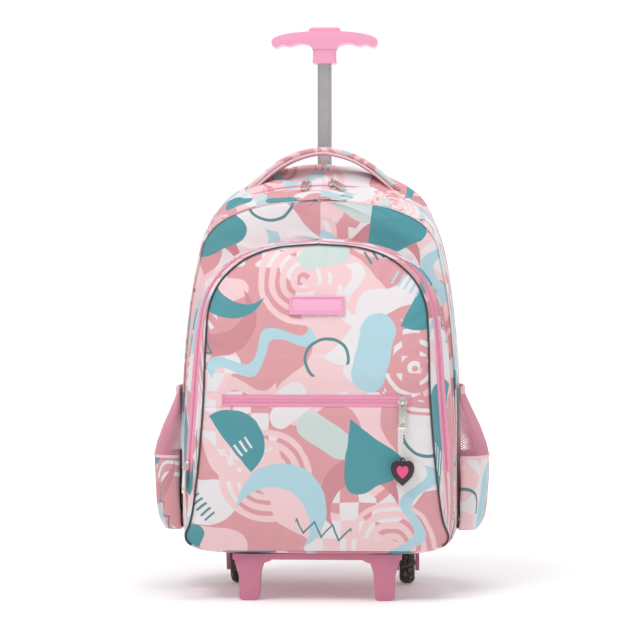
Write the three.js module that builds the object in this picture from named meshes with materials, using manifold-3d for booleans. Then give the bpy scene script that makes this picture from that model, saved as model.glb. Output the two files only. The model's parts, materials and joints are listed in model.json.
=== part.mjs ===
// A child's wheeled backpack of printed cloth on a moulded plastic chassis, in millimetres.
// +Z is up, the front of the bag faces -Y, and +X is to the right of someone who looks at the front.
// The bag is two hollow cloth compartments, one behind the other, with zips, two stretch side pockets,
// a padded back with shoulder straps, and a trolley handle that slides in a tube behind the back wall.
import * as THREE from 'three';
import { mergeVertices } from 'three/addons/utils/BufferGeometryUtils.js';
import Module from 'manifold-3d';

const wasm = await Module();
wasm.setup();

// General clearances and walls
const seat = 0.3;
const clothWall = 2.5;
const pocketWall = 1.8;
const outlineSteps = 18;

// Body of the bag
const trayTop = 50;
const bodyWidth = 310;
const bodyHeight = 428;
const backWallY = 100;
const mainFrontY = -38;
const mainFrontLean = 23;
const frontPanelY = -100;
const frontPanelLean = 40;
const frontBulge = 7;

// Zips
const zipWidth = 13.5;
const mainZipWidth = 7;
const zipCoilWidth = 4.4;
const zipCoilRise = 1.2;
const mainZipY = 33;
const mainZipEndZ = 300;
const frontZipEndZ = 136;
const pocketZipZ = 215;
const pocketZipLength = 203;

// Zip sliders and pulls
const sliderLength = 10;
const sliderWidth = 8;
const sliderThickness = 2.6;
const bailWire = 1.2;
const bailWindow = 3;
const pullWidth = 8.5;
const pullThickness = 1.5;
const shortPull = 24;
const longPull = 30;

// Label, chain and charm
const labelWidth = 60;
const labelHeight = 21;
const labelThickness = 2;
const labelCorner = 2;
const labelZ = 317;
const beadRadius = 1.3;
const beadPitch = 3.3;
const beadCount = 9;
const chainWire = 0.6;
const charmWidth = 25;
const charmHeight = 27;
const charmThickness = 4;

// Side pockets
const pocketBottomZ = 69;
const pocketHeight = 158;
const pocketCentreY = 24;
const pocketHalfDepth = 54;
const pocketBulge = 35;
const pocketAnchor = 12;
const pocketClothShare = 0.51;
const bindingHeight = 7;

// Grab handle on top
const grabSpan = 174;
const grabFootDrop = 28.3;
const grabRise = 47;
const grabWidth = 30;
const grabY = 60;
const grabThickness = 12;
const grabMeshThickness = 3;

// Padded back and shoulder straps
const backPanelDepth = 22;
const backPanelInset = 7;
const ventWidth = 34;
const ventDepth = 4;
const strapWidth = 56;
const strapThickness = 9;
const strapStandOff = 26;
const webbingWidth = 25;
const webbingThickness = 2;
const adjusterWidth = 34;
const adjusterThickness = 4;

// Trolley handle
const poleWidth = 16.6;
const poleDepth = 11;
const poleLength = 425;
const poleSeatDrop = 32.5;
const tubeWall = 1.6;
const tubeFootRise = 8;
const tubeTopDrop = 4.3;
const lipHeight = 6;
const lipWall = 2.5;
const gripWidth = 123;
const gripDepth = 22;
const gripTopZ = 634.5;
const gripBar = 10;
const neckWidth = 31;
const collarWidth = 27.5;
const collarDepth = 19.5;
const collarDrop = 37.1;
const buttonWidth = 37;
const buttonDepth = 12;
const buttonHeight = 14;
const buttonRise = 5;
const buttonTravel = 4;

// Chassis and wheels
const trayThickness = 6.5;
const trayFrontY = -96;
const trayHalfWidth = 92;
const legInner = 61.5;
const legOuter = 84;
const legDepth = 27;
const wheelRadius = 23.5;
const wheelWidth = 17.5;
const wheelCentreX = 96;
const wheelY = 62;
const bracketWall = 4.6;
const bracketLength = 38;
const hubRadius = 15;
const axleRadius = 3;
const runningGap = 0.5;

const halfWidth = bodyWidth / 2;
const bagBottomZ = trayTop + seat;
const bagTopZ = bagBottomZ + bodyHeight;
const grabFootZ = bagTopZ - grabFootDrop;
const tubeBottomZ = trayTop + tubeFootRise;
const tubeTopZ = bagTopZ - tubeTopDrop;
const poleTopZ = gripTopZ - poleSeatDrop;
const collarBottomZ = gripTopZ - collarDrop;
const tubeWidth = poleWidth + 2 * (seat + tubeWall);
const tubeDepth = poleDepth + 2 * (seat + tubeWall);
const tubeY = backWallY + 2 * seat + tubeDepth / 2;
const backFaceY = backWallY + seat + backPanelDepth;

// Outlines seen from the front: shares of each section's own height and half width, bottom to top
const bodyOutline = [
  { height: 0, width: 0 }, { height: 0, width: 0.72 }, { height: 0.004, width: 0.88 },
  { height: 0.018, width: 0.955 }, { height: 0.05, width: 0.992 }, { height: 0.13, width: 1 },
  { height: 0.43, width: 1 }, { height: 0.64, width: 0.951 }, { height: 0.77, width: 0.897 },
  { height: 0.85, width: 0.822 }, { height: 0.903, width: 0.735 }, { height: 0.944, width: 0.6 },
  { height: 0.968, width: 0.47 }, { height: 0.99, width: 0.3 }, { height: 1, width: 0 },
];
const seamOutline = [
  { height: 0, width: 0 }, { height: 0, width: 0.72 }, { height: 0.004, width: 0.88 },
  { height: 0.018, width: 0.955 }, { height: 0.05, width: 0.992 }, { height: 0.13, width: 1 },
  { height: 0.48, width: 1 }, { height: 0.715, width: 0.95 }, { height: 0.82, width: 0.9 },
  { height: 0.885, width: 0.859 }, { height: 0.935, width: 0.758 }, { height: 0.969, width: 0.597 },
  { height: 0.984, width: 0.47 }, { height: 0.995, width: 0.28 }, { height: 1, width: 0 },
];
const junctionOutline = [
  { height: 0, width: 0 }, { height: 0, width: 0.7 }, { height: 0.006, width: 0.87 },
  { height: 0.025, width: 0.95 }, { height: 0.08, width: 0.99 }, { height: 0.2, width: 1 },
  { height: 0.42, width: 1 }, { height: 0.55, width: 0.983 }, { height: 0.71, width: 0.936 },
  { height: 0.8, width: 0.888 }, { height: 0.87, width: 0.807 }, { height: 0.915, width: 0.719 },
  { height: 0.953, width: 0.583 }, { height: 0.982, width: 0.373 }, { height: 1, width: 0 },
];
const pipedOutline = [
  { height: 0, width: 0 }, { height: 0, width: 0.7 }, { height: 0.012, width: 0.88 },
  { height: 0.03, width: 0.975 }, { height: 0.05, width: 0.995 }, { height: 0.1, width: 0.955 },
  { height: 0.25, width: 0.905 }, { height: 0.5, width: 0.857 }, { height: 0.7, width: 0.844 },
  { height: 0.8, width: 0.825 }, { height: 0.87, width: 0.757 }, { height: 0.92, width: 0.655 },
  { height: 0.96, width: 0.52 }, { height: 0.988, width: 0.32 }, { height: 1, width: 0 },
];

// Sections from back to front: depth is the share of the compartment's depth, width of the half
// width, top and bottom of the body's height; blend goes from the back outline to the front one
const mainSections = [
  { depth: 0, width: 0.955, bottom: 0.006, top: 0.985, blend: 0 },
  { depth: 0.06, width: 0.988, bottom: 0, top: 0.998, blend: 0 },
  { depth: 0.17, width: 1, bottom: 0, top: 1, blend: 0 },
  { depth: 0.47, width: 1, bottom: 0, top: 0.957, blend: 0.45 },
  { depth: 0.8, width: 0.985, bottom: 0, top: 0.918, blend: 0.8 },
  { depth: 1, width: 0.961, bottom: 0.003, top: 0.892, blend: 1 },
];
const frontSections = [
  { depth: 0, width: 0.95, bottom: 0.003, top: 0.793, blend: 0 },
  { depth: 0.35, width: 0.945, bottom: 0, top: 0.792, blend: 0.25 },
  { depth: 0.6, width: 0.94, bottom: 0, top: 0.79, blend: 0.5 },
  { depth: 0.82, width: 0.925, bottom: 0, top: 0.785, blend: 0.78 },
  { depth: 1, width: 0.91, bottom: 0.006, top: 0.777, blend: 1 },
];
// The front panel's crown: inset from its edge towards its middle, and share of the bulge
const crown = [
  { inset: 0.05, bulge: 0.45 },
  { inset: 0.2, bulge: 0.85 },
  { inset: 0.5, bulge: 1 },
];
// Side pocket, bottom to top: shares of its height, bulge and half depth
const pocketSections = [
  { height: 0, bulge: 0.6, depth: 0.8 },
  { height: 0.03, bulge: 0.72, depth: 0.92 },
  { height: 0.18, bulge: 0.88, depth: 0.98 },
  { height: 0.34, bulge: 1, depth: 1 },
  { height: 0.51, bulge: 0.97, depth: 1 },
  { height: 0.6, bulge: 0.83, depth: 0.99 },
  { height: 0.72, bulge: 0.62, depth: 0.97 },
  { height: 0.86, bulge: 0.42, depth: 0.95 },
  { height: 1, bulge: 0.3, depth: 0.93 },
];
// Grab handle, one foot to the crown: shares of the half span, of the rise and of the thickness
const grabProfile = [
  { across: 1, rise: 0, thick: 0.6 },
  { across: 0.93, rise: 0.13, thick: 0.9 },
  { across: 0.8, rise: 0.37, thick: 1 },
  { across: 0.6, rise: 0.67, thick: 1 },
  { across: 0.4, rise: 0.87, thick: 0.92 },
  { across: 0.2, rise: 0.97, thick: 0.8 },
  { across: 0, rise: 1, thick: 0.68 },
];
// Trolley grip, half of its front outline: across in shares of the half width, drop from the top
// in shares of the bar; the last rows are the finger grooves and the neck
const gripProfile = [
  { across: 0, drop: 0 }, { across: 0.3, drop: 0.03 }, { across: 0.62, drop: 0.2 },
  { across: 0.86, drop: 0.55 }, { across: 0.96, drop: 0.78 }, { across: 1, drop: 1.25 },
  { across: 0.97, drop: 1.7 }, { across: 0.88, drop: 1.9 }, { across: 0.8, drop: 1.62 },
  { across: 0.7, drop: 1.6 }, { across: 0.62, drop: 1.42 }, { across: 0.52, drop: 1.28 },
  { across: 0.42, drop: 1.34 }, { across: 0.33, drop: 1.32 },
];
// Shoulder strap and its webbing, top to bottom: across in shares of the half width, off the back
// face in shares of the stand-off, height in shares of the body, width in shares of the strap
const strapRoute = [
  { across: 0.297, off: 0.2, height: 0.93, width: 0.8 },
  { across: 0.323, off: 0.577, height: 0.87, width: 0.95 },
  { across: 0.361, off: 0.923, height: 0.76, width: 1 },
  { across: 0.406, off: 1, height: 0.62, width: 0.98 },
  { across: 0.458, off: 0.769, height: 0.48, width: 0.9 },
  { across: 0.51, off: 0.423, height: 0.385, width: 0.72 },
];
const webbingRoute = [
  { across: 0.539, off: 0.315, height: 0.325 },
  { across: 0.594, off: 0.231, height: 0.26 },
  { across: 0.671, off: 0.135, height: 0.15 },
  { across: 0.723, off: 0.0615, height: 0.075 },
];

function material(color, roughness, metalness = 0) {
  return new THREE.MeshStandardMaterial({ color, roughness, metalness });
}

const printedCloth = material(0xeec6cb, 0.85);
const darkCord = material(0x5a2f3c, 0.6);
const pinkTape = material(0xf7a8c4, 0.7);
const nickel = material(0xd9d2cc, 0.3, 1);
const labelPink = material(0xf4a6ce, 0.5);
const netPink = material(0xe58fa8, 0.8);
const padCloth = material(0xe9a3b4, 0.9);
const gripPink = material(0xf7a3c6, 0.4);
const chassisPink = material(0xd27f9e, 0.4);
const poleGrey = material(0xa9a6ab, 0.35, 0.8);
const tyreBlack = material(0x33302b, 0.8);
const hubGrey = material(0x6e6a6c, 0.5);
const charmBlack = material(0x3a2a2c, 0.5);
const charmPink = material(0xf0508c, 0.45);

const bag = new THREE.Group();

function add(name, geometry, finish) {
  const mesh = new THREE.Mesh(geometry, finish);
  mesh.name = name;
  bag.add(mesh);
  return mesh;
}

// Turns a geometry's faces outwards when its signed volume is negative
function outward(geometry) {
  const place = geometry.attributes.position;
  const index = geometry.index.array;
  const [a, b, c] = [new THREE.Vector3(), new THREE.Vector3(), new THREE.Vector3()];
  let volume = 0;
  for (let i = 0; i < index.length; i += 3) {
    a.fromBufferAttribute(place, index[i]);
    b.fromBufferAttribute(place, index[i + 1]);
    c.fromBufferAttribute(place, index[i + 2]);
    volume += a.dot(b.cross(c));
  }
  if (volume < 0) {
    for (let i = 0; i < index.length; i += 3) {
      [index[i], index[i + 1]] = [index[i + 1], index[i]];
    }
  }
  return geometry;
}

function bareGeometry(geometry) {
  const bare = geometry.clone();
  bare.deleteAttribute('normal');
  bare.deleteAttribute('uv');
  return outward(mergeVertices(bare, 1e-3));
}

// Closed solid through rings of equal, mirror-ordered points, with strip caps at both ends
function loft(rings) {
  const count = rings[0].length;
  const index = [];
  for (let r = 0; r + 1 < rings.length; r += 1) {
    for (let i = 0; i < count; i += 1) {
      const next = (i + 1) % count;
      const [a, b] = [r * count + i, r * count + next];
      index.push(a, b, b + count, a, b + count, a + count);
    }
  }
  for (const first of [0, (rings.length - 1) * count]) {
    const turn = first > 0;
    for (let i = 0; i < count / 2; i += 1) {
      const right = [first + i, first + i + 1];
      const left = [first + (count - i) % count, first + count - i - 1];
      const faces = [];
      if (i > 0) faces.push([right[0], left[0], right[1]]);
      if (i + 1 < count / 2) faces.push([right[1], left[0], left[1]]);
      for (const [p, q, s] of faces) index.push(p, turn ? s : q, turn ? q : s);
    }
  }
  const geometry = new THREE.BufferGeometry();
  geometry.setAttribute('position',
    new THREE.Float32BufferAttribute(rings.flat().flatMap((p) => [p.x, p.y, p.z]), 3));
  geometry.setIndex(index);
  return outward(geometry);
}

function solidOf(geometry) {
  const bare = bareGeometry(geometry);
  return new wasm.Manifold(new wasm.Mesh({
    numProp: 3,
    vertProperties: new Float32Array(bare.attributes.position.array),
    triVerts: new Uint32Array(bare.index.array),
  }));
}

function geometryOf(solid) {
  const mesh = solid.getMesh();
  const geometry = new THREE.BufferGeometry();
  geometry.setAttribute('position', new THREE.Float32BufferAttribute(mesh.vertProperties, 3));
  geometry.setIndex([...mesh.triVerts]);
  return geometry;
}

function box(x, y, z) {
  const geometry = new THREE.BoxGeometry(x[1] - x[0], y[1] - y[0], z[1] - z[0]);
  return geometry.translate((x[0] + x[1]) / 2, (y[0] + y[1]) / 2, (z[0] + z[1]) / 2);
}

function cut(base, ...tools) {
  return tools.reduce((solid, tool) => solid.subtract(solidOf(tool)), base);
}

function join(base, ...more) {
  return more.reduce((solid, other) => solid.add(solidOf(other)), base);
}

function mirrored(geometry) {
  return outward(bareGeometry(geometry.clone().scale(-1, 1, 1)));
}

// Extrudes an outline in X and Z through a depth in Y
function upright(points, y, bevel = 0) {
  const shape = new THREE.Shape(points.map(([x, z]) => new THREE.Vector2(x, z)));
  const geometry = new THREE.ExtrudeGeometry(shape, {
    depth: y[1] - y[0] - 2 * bevel,
    bevelEnabled: bevel > 0,
    bevelThickness: bevel,
    bevelSize: bevel,
    bevelOffset: -bevel,
    bevelSegments: 2,
    curveSegments: 6,
  });
  return geometry.rotateX(Math.PI / 2).translate(0, y[1] - bevel, 0);
}

// Half an outline mirrored into a ring: it starts at the bottom middle and goes round by the right
function outlineRing(rows, half, bottom, top, heightAt) {
  const curve = new THREE.CatmullRomCurve3(rows.map((row) => new THREE.Vector3(
    row.width * half, 0, bottom + row.height * (top - bottom))), false, 'centripetal');
  const right = curve.getPoints(outlineSteps);
  right.forEach((p) => p.set(Math.max(p.x, 0), 0, THREE.MathUtils.clamp(p.z, bottom, top)));
  right[0].x = 0;
  right[outlineSteps].x = 0;
  const left = right.slice(1, -1).reverse().map((p) => new THREE.Vector3(-p.x, 0, p.z));
  return [...right, ...left].map((p) => p.setY(heightAt ? heightAt(p.z) : 0));
}

const share = (z) => THREE.MathUtils.clamp((z - bagBottomZ) / bodyHeight, 0, 1.1);
const topOf = (section) => bagBottomZ + section.top * bodyHeight;
const frontTop = frontSections[frontSections.length - 1].top;
const seamTop = mainSections[mainSections.length - 1].top;
const leanStart = 0.44;

function mainFrontAt(z) {
  return mainFrontY + mainFrontLean * (share(z) / seamTop) ** 3;
}

function frontEdgeAt(z) {
  const rise = Math.max(0, share(z) - leanStart) / (frontTop - leanStart);
  return frontPanelY + frontPanelLean * rise ** 1.2;
}

// Rings of a compartment, grown outwards by offset, or shrunk to its inside by a negative one
function compartmentRings(sections, outlines, backAt, frontAt, offset) {
  return sections.map((section) => {
    const half = section.width * halfWidth + offset;
    const bottom = bagBottomZ + section.bottom * bodyHeight - offset;
    const top = topOf(section) + offset;
    const [back, front] = outlines.map((rows) => outlineRing(rows, half, bottom, top));
    return back.map((p, i) => {
      const point = p.lerp(front[i], section.blend);
      const y = THREE.MathUtils.lerp(backAt(point.z), frontAt(point.z), section.depth);
      return point.setY(y);
    });
  });
}

// An overshoot carries the first section straight on past the back, to cut the back open
function carriedBack(rings, overshoot) {
  const back = rings[0].map((p) => p.clone().setY(p.y + overshoot));
  return overshoot > 0 ? [back, ...rings] : rings;
}

function mainBody(offset, overshoot = 0) {
  const frontAt = (z) => mainFrontAt(z) - offset;
  const outlines = [bodyOutline, seamOutline];
  const rings = compartmentRings(mainSections, outlines, () => backWallY, frontAt, offset);
  return loft(carriedBack(rings, overshoot));
}

function frontRings(offset, overshoot = 0) {
  const backAt = (z) => mainFrontAt(z) - seat;
  const frontAt = (z) => frontEdgeAt(z) - offset;
  const outlines = [junctionOutline, pipedOutline];
  const rings = compartmentRings(frontSections, outlines, backAt, frontAt, offset);
  return carriedBack(rings, overshoot);
}

// The front compartment with its crowned panel
function frontBody(offset, overshoot = 0) {
  const rings = frontRings(offset, overshoot);
  const edge = rings[rings.length - 1];
  const middle = (edge[0].z + edge[outlineSteps].z) / 2;
  const crowned = crown.map(({ inset, bulge }) => edge.map((p) => {
    const z = middle + (p.z - middle) * (1 - inset);
    return new THREE.Vector3(p.x * (1 - inset), frontEdgeAt(z) - offset - bulge * frontBulge, z);
  }));
  return loft([...rings, ...crowned]);
}

// A slab that follows the front compartment's lean, between two shares of its depth
function leaningSlab(near, far, bottom, top, reach) {
  const at = (z, depth) => THREE.MathUtils.lerp(mainFrontAt(z), frontEdgeAt(z), depth);
  const levels = Array.from({ length: 6 }, (_, i) => THREE.MathUtils.lerp(bottom, top, i / 5));
  const side = levels.map((z) => [at(z, near), z]);
  const other = levels.map((z) => [at(z, far), z]).reverse();
  const shape = new THREE.Shape([...side, ...other].map(([y, z]) => new THREE.Vector2(y, z)));
  const geometry = new THREE.ExtrudeGeometry(shape, { depth: 2 * reach, bevelEnabled: false });
  geometry.applyMatrix4(new THREE.Matrix4().makeBasis(
    new THREE.Vector3(0, 1, 0), new THREE.Vector3(0, 0, 1), new THREE.Vector3(1, 0, 0)));
  return geometry.translate(-reach, 0, 0);
}

const wide = halfWidth + pocketBulge + backPanelDepth;
const above = bagTopZ + grabRise;
const frontDepth = mainFrontY - frontPanelY;
const frontZipNear = 0.53;
const frontZipFar = frontZipNear + 0.78 * zipWidth / frontDepth;
const depthGap = seat / frontDepth;

function mainZipSlab(halfY, endZ) {
  return box([-wide, wide], [mainZipY - halfY, mainZipY + halfY], [endZ, above]);
}

function pocketZipBar(halfZ, halfX, y) {
  return box([-halfX, halfX], y, [pocketZipZ - halfZ, pocketZipZ + halfZ]);
}

const panelReach = [frontPanelY - 2 * frontBulge, frontPanelY + 6 * clothWall];
const innerMain = solidOf(mainBody(-clothWall, 20));
const innerFront = solidOf(frontBody(-clothWall, 20));
const innerShell = solidOf(frontBody(-clothWall));

// The main compartment's front wall is a plate of its own across the front of the side wall
function mainWall(grow, ahead, behind) {
  const sections = [mainSections[mainSections.length - 1]];
  const [edge] = compartmentRings(sections, [bodyOutline, seamOutline], () => backWallY, mainFrontAt, grow);
  return loft([behind, -ahead].map((shift) => edge.map((p) => p.clone().setY(p.y + shift))));
}

const mainShell = cut(solidOf(mainBody(0)).subtract(innerMain),
  mainZipSlab(mainZipWidth / 2, mainZipEndZ), mainWall(clothWall, clothWall, clothWall + seat));
add('main_compartment', geometryOf(mainShell), printedCloth);
add('main_front_wall', bareGeometry(mainWall(0, 0, clothWall)), printedCloth);

const frontShell = cut(solidOf(frontBody(0)).subtract(innerFront),
  leaningSlab(frontZipNear, frontZipFar, frontZipEndZ, above, wide),
  pocketZipBar(zipWidth / 2, pocketZipLength / 2, panelReach));
const frontMesh = add('front_compartment', geometryOf(frontShell), printedCloth);

// Zips: the tape fills its slot with a seat's gap, and the coil stands proud of it
function zip(outer, coilOuter, inner, coilInner, tapeSlab, coilSlab) {
  const tape = outer.subtract(inner).intersect(solidOf(tapeSlab));
  const coil = coilOuter.subtract(coilInner).intersect(solidOf(coilSlab));
  return geometryOf(tape.add(coil));
}

const tapeSink = -0.8;
add('main_zipper', zip(
  solidOf(mainBody(tapeSink)), solidOf(mainBody(tapeSink + zipCoilRise)), innerMain,
  solidOf(mainBody(-clothWall / 2, 20)),
  mainZipSlab(mainZipWidth / 2 - seat, mainZipEndZ + seat),
  mainZipSlab(zipCoilWidth / 2, mainZipEndZ + seat)), pinkTape);

const zipMiddle = (frontZipNear + frontZipFar) / 2;
const coilShare = zipCoilWidth / 2 / frontDepth;
add('front_zipper', zip(
  solidOf(frontBody(tapeSink)), solidOf(frontBody(tapeSink + zipCoilRise)), innerShell,
  solidOf(frontBody(-clothWall / 2)),
  leaningSlab(frontZipNear + depthGap, frontZipFar - depthGap, frontZipEndZ + seat, above, wide),
  leaningSlab(zipMiddle - coilShare, zipMiddle + coilShare, frontZipEndZ + seat, above, wide)),
pinkTape);
add('pocket_zipper', zip(
  solidOf(frontBody(tapeSink)), solidOf(frontBody(tapeSink + zipCoilRise)), innerShell,
  solidOf(frontBody(-clothWall / 2)),
  pocketZipBar(zipWidth / 2 - seat, pocketZipLength / 2 - seat, panelReach),
  pocketZipBar(zipCoilWidth / 2, pocketZipLength / 2 - seat, panelReach)), pinkTape);

// Piping round the front panel's edge, from one bottom corner over the arch to the other
const pipingRadius = 1.6;
const pipingStart = 3;

function piping() {
  const rings = frontRings(0);
  const edge = rings[rings.length - 1];
  const open = edge.slice(pipingStart).slice(0, edge.length - 2 * pipingStart + 1);
  const off = pipingRadius + 2.5 * seat;
  const path = open.map((p, i) => {
    const before = open[Math.max(i - 1, 0)];
    const after = open[Math.min(i + 1, open.length - 1)];
    const out = new THREE.Vector3(after.z - before.z, 0, before.x - after.x).normalize();
    return p.clone().addScaledVector(out, 0.7 * off).add(new THREE.Vector3(0, -0.72 * off, 0));
  });
  const shape = new THREE.Shape();
  shape.absarc(0, 0, pipingRadius, 0, 2 * Math.PI);
  const tube = new THREE.ExtrudeGeometry(shape, {
    steps: 42,
    curveSegments: 3,
    extrudePath: new THREE.CatmullRomCurve3(path),
  });
  return geometryOf(cut(solidOf(tube), frontBody(seat)));
}

add('front_piping', piping(), darkCord);

// Points on the cloth, found by a ray from outside
const ray = new THREE.Raycaster();
function surfacePoint(geometry, from, direction) {
  const mesh = new THREE.Mesh(geometry, new THREE.MeshBasicMaterial({ side: THREE.DoubleSide }));
  mesh.updateMatrixWorld();
  ray.set(from, direction.clone().normalize());
  const hit = ray.intersectObject(mesh)[0];
  return { point: hit.point, normal: hit.face.normal.clone() };
}

const forward = new THREE.Vector3(0, 1, 0);
const frontSkin = frontBody(0);
const mainSkin = mainBody(0);

function onPanel(x, z) {
  return surfacePoint(frontSkin, new THREE.Vector3(x, 2 * frontPanelY, z), forward);
}

// A basis whose Y axis points along a pull, Z out of the cloth and X across
function clothBasis(point, normal, down) {
  const z = normal.clone().normalize();
  const y = down.clone().addScaledVector(z, -down.dot(z)).normalize();
  const x = new THREE.Vector3().crossVectors(y, z);
  return new THREE.Matrix4().makeBasis(x, y, z).setPosition(point);
}

// Slider body with its bail, lying on Z = 0: the bail arches over the pull's cross bar
const bailBase = sliderThickness;
const crossBarZ = bailBase + bailWindow / 2;

function slider(alongPull) {
  const [l, w] = alongPull ? [sliderLength, sliderWidth] : [sliderWidth, sliderLength];
  const shape = new THREE.Shape([
    [-w / 2, -l * 0.3], [-w * 0.3, -l / 2], [w * 0.3, -l / 2], [w / 2, -l * 0.3],
    [w / 2, l * 0.3], [w * 0.3, l / 2], [-w * 0.3, l / 2], [-w / 2, l * 0.3],
  ].map(([x, y]) => new THREE.Vector2(x, y)));
  const body = new THREE.ExtrudeGeometry(shape, { depth: sliderThickness, bevelEnabled: false });
  const reach = bailWindow / 2 + bailWire;
  const half = bailWire * 0.7;
  const bail = box([-half, half], [-reach, reach], [bailBase - 0.5, bailBase + bailWindow + bailWire]);
  const window = box([-wide, wide], [-bailWindow / 2, bailWindow / 2], [bailBase, bailBase + bailWindow]);
  return geometryOf(cut(join(solidOf(body), bail), window));
}

// Pull tab, with its cross bar on the axis and its tab along +Y: a frame at the top and a tapered tab
function pull(length) {
  const w = pullWidth / 2;
  const shape = new THREE.Shape();
  shape.moveTo(-w * 0.75, -pullThickness / 2);
  shape.lineTo(w * 0.75, -pullThickness / 2);
  shape.lineTo(w, 3);
  shape.lineTo(w, length - 3);
  shape.quadraticCurveTo(w, length, w * 0.6, length);
  shape.lineTo(-w * 0.6, length);
  shape.quadraticCurveTo(-w, length, -w, length - 3);
  shape.lineTo(-w, 3);
  const eye = new THREE.Path([
    [-bailWire - 0.5, pullThickness / 2], [-bailWire - 0.5, 5.2],
    [bailWire + 0.5, 5.2], [bailWire + 0.5, pullThickness / 2],
  ].map(([x, y]) => new THREE.Vector2(x, y)));
  const slot = new THREE.Path([
    [-w * 0.35, length - 7], [-w * 0.35, length - 3.5], [w * 0.35, length - 3.5], [w * 0.35, length - 7],
  ].map(([x, y]) => new THREE.Vector2(x, y)));
  shape.holes.push(eye, slot);
  const geometry = new THREE.ExtrudeGeometry(shape, {
    depth: pullThickness, bevelEnabled: false, curveSegments: 3,
  });
  return bareGeometry(geometry.translate(0, 0, -pullThickness / 2));
}

// A slider stands on the zip's coil, and its pull hangs from the bail along the given direction
function zipPull(names, spot, down, length, tilt, along) {
  const rise = zipCoilRise + tapeSink + seat;
  const frame = clothBasis(spot.point, spot.normal, down);
  add(names[0], slider(along).applyMatrix4(frame.clone()
    .multiply(new THREE.Matrix4().makeTranslation(0, 0, rise))), nickel);
  const hang = frame.clone()
    .multiply(new THREE.Matrix4().makeTranslation(0, 0, rise + crossBarZ))
    .multiply(new THREE.Matrix4().makeRotationX(tilt));
  const tab = add(names[1], bareGeometry(pull(length).applyMatrix4(hang)), nickel);
  tab.userData.hinge = new THREE.Vector3().setFromMatrixPosition(hang);
  tab.userData.axis = new THREE.Vector3().setFromMatrixColumn(hang, 0);
  return hang;
}

const downwards = new THREE.Vector3(0, 0, -1);
const topPulls = [
  { side: 'left', x: -17, lean: -0.1, tilt: -0.02 },
  { side: 'right', x: 12, lean: 0.75, tilt: -0.02 },
];
for (const { side, x, lean, tilt } of topPulls) {
  const spot = surfacePoint(mainSkin, new THREE.Vector3(x, mainZipY, above), downwards);
  zipPull([`main_slider_${side}`, `main_pull_${side}`], spot,
    new THREE.Vector3(lean, -1, -0.4), shortPull, tilt, false);
}

const frontSliderZ = frontZipEndZ + sliderLength / 2 + 2;
function zipPointAt(z) {
  const y = THREE.MathUtils.lerp(mainFrontAt(z), frontEdgeAt(z), zipMiddle);
  return surfacePoint(frontSkin, new THREE.Vector3(-wide, y, z), new THREE.Vector3(1, 0, 0));
}
zipPull(['front_slider', 'front_pull'], zipPointAt(frontSliderZ), downwards, longPull, 0, true);

const pocketPullX = pocketZipLength / 2 - 1.2 * sliderWidth;
const pocketPull = zipPull(['pocket_slider', 'pocket_pull'],
  onPanel(pocketPullX, pocketZipZ), downwards, longPull, 0.03, false);

// Ball chain from the pull's slot, and the charm at its end: a heart with a smaller heart on it
const chainTop = new THREE.Vector3(0, longPull - 4.6, 0).applyMatrix4(pocketPull);

function chain() {
  const beads = [];
  const off = (y, z) => chainTop.clone().add(new THREE.Vector3(0, -y, -z));
  const clear = pullThickness / 2 + chainWire + 2 * seat;
  const below = 3.5 + beadRadius;
  const end = off(clear, below + beadPitch * beadCount);
  const route = new THREE.CatmullRomCurve3([off(-pullThickness, 0), off(clear, 0), off(clear, below), end],
    false, 'catmullrom', 0);
  const wire = new THREE.Shape();
  wire.absarc(0, 0, chainWire, 0, 2 * Math.PI);
  for (let i = 0; i < beadCount; i += 1) {
    const at = off(clear, below + beadPitch * (i + 0.5));
    beads.push(new THREE.SphereGeometry(beadRadius, 10, 4).translate(at.x, at.y, at.z));
  }
  const core = solidOf(new THREE.ExtrudeGeometry(wire, { steps: 9, curveSegments: 3, extrudePath: route }));
  return { solid: join(core, ...beads), end };
}

function heart(width, height) {
  const [w, h] = [width / 2, height];
  const shape = new THREE.Shape();
  shape.moveTo(0, -h);
  shape.bezierCurveTo(-w * 0.4, -h * 0.82, -w, -h * 0.62, -w, -h * 0.3);
  shape.bezierCurveTo(-w, h * 0.08, -w * 0.18, h * 0.06, 0, -h * 0.14);
  shape.bezierCurveTo(w * 0.18, h * 0.06, w, h * 0.08, w, -h * 0.3);
  shape.bezierCurveTo(w, -h * 0.62, w * 0.4, -h * 0.82, 0, -h);
  return shape;
}

function slab(shape, thickness, bevel, place) {
  const geometry = new THREE.ExtrudeGeometry(shape, {
    depth: thickness - 2 * bevel,
    bevelThickness: bevel,
    bevelSize: bevel,
    bevelOffset: -bevel,
    bevelSegments: 1,
    bevelEnabled: bevel > 0,
    curveSegments: 4,
  });
  return geometry.rotateX(Math.PI / 2).translate(place.x, place.y + thickness / 2 - bevel, place.z);
}

const stringed = chain();
add('charm_chain', geometryOf(stringed.solid), nickel);
const eyeletRise = 3;
const charmAt = stringed.end.clone().add(new THREE.Vector3(0, -0.8, -seat - eyeletRise));
const eyelet = box([charmAt.x - 2, charmAt.x + 2], [charmAt.y - 1.2, charmAt.y + 1.2],
  [charmAt.z - 4, charmAt.z + eyeletRise]);
add('charm', geometryOf(join(solidOf(slab(heart(charmWidth, charmHeight), charmThickness, 1, charmAt)),
  eyelet)), charmBlack);
const insetAt = charmAt.clone()
  .add(new THREE.Vector3(0, -charmThickness / 2 - seat - 0.6, -0.2 * charmHeight));
add('charm_inset', bareGeometry(slab(heart(0.5 * charmWidth, 0.5 * charmHeight), 1.2, 0.3, insetAt)),
  charmPink);

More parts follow.
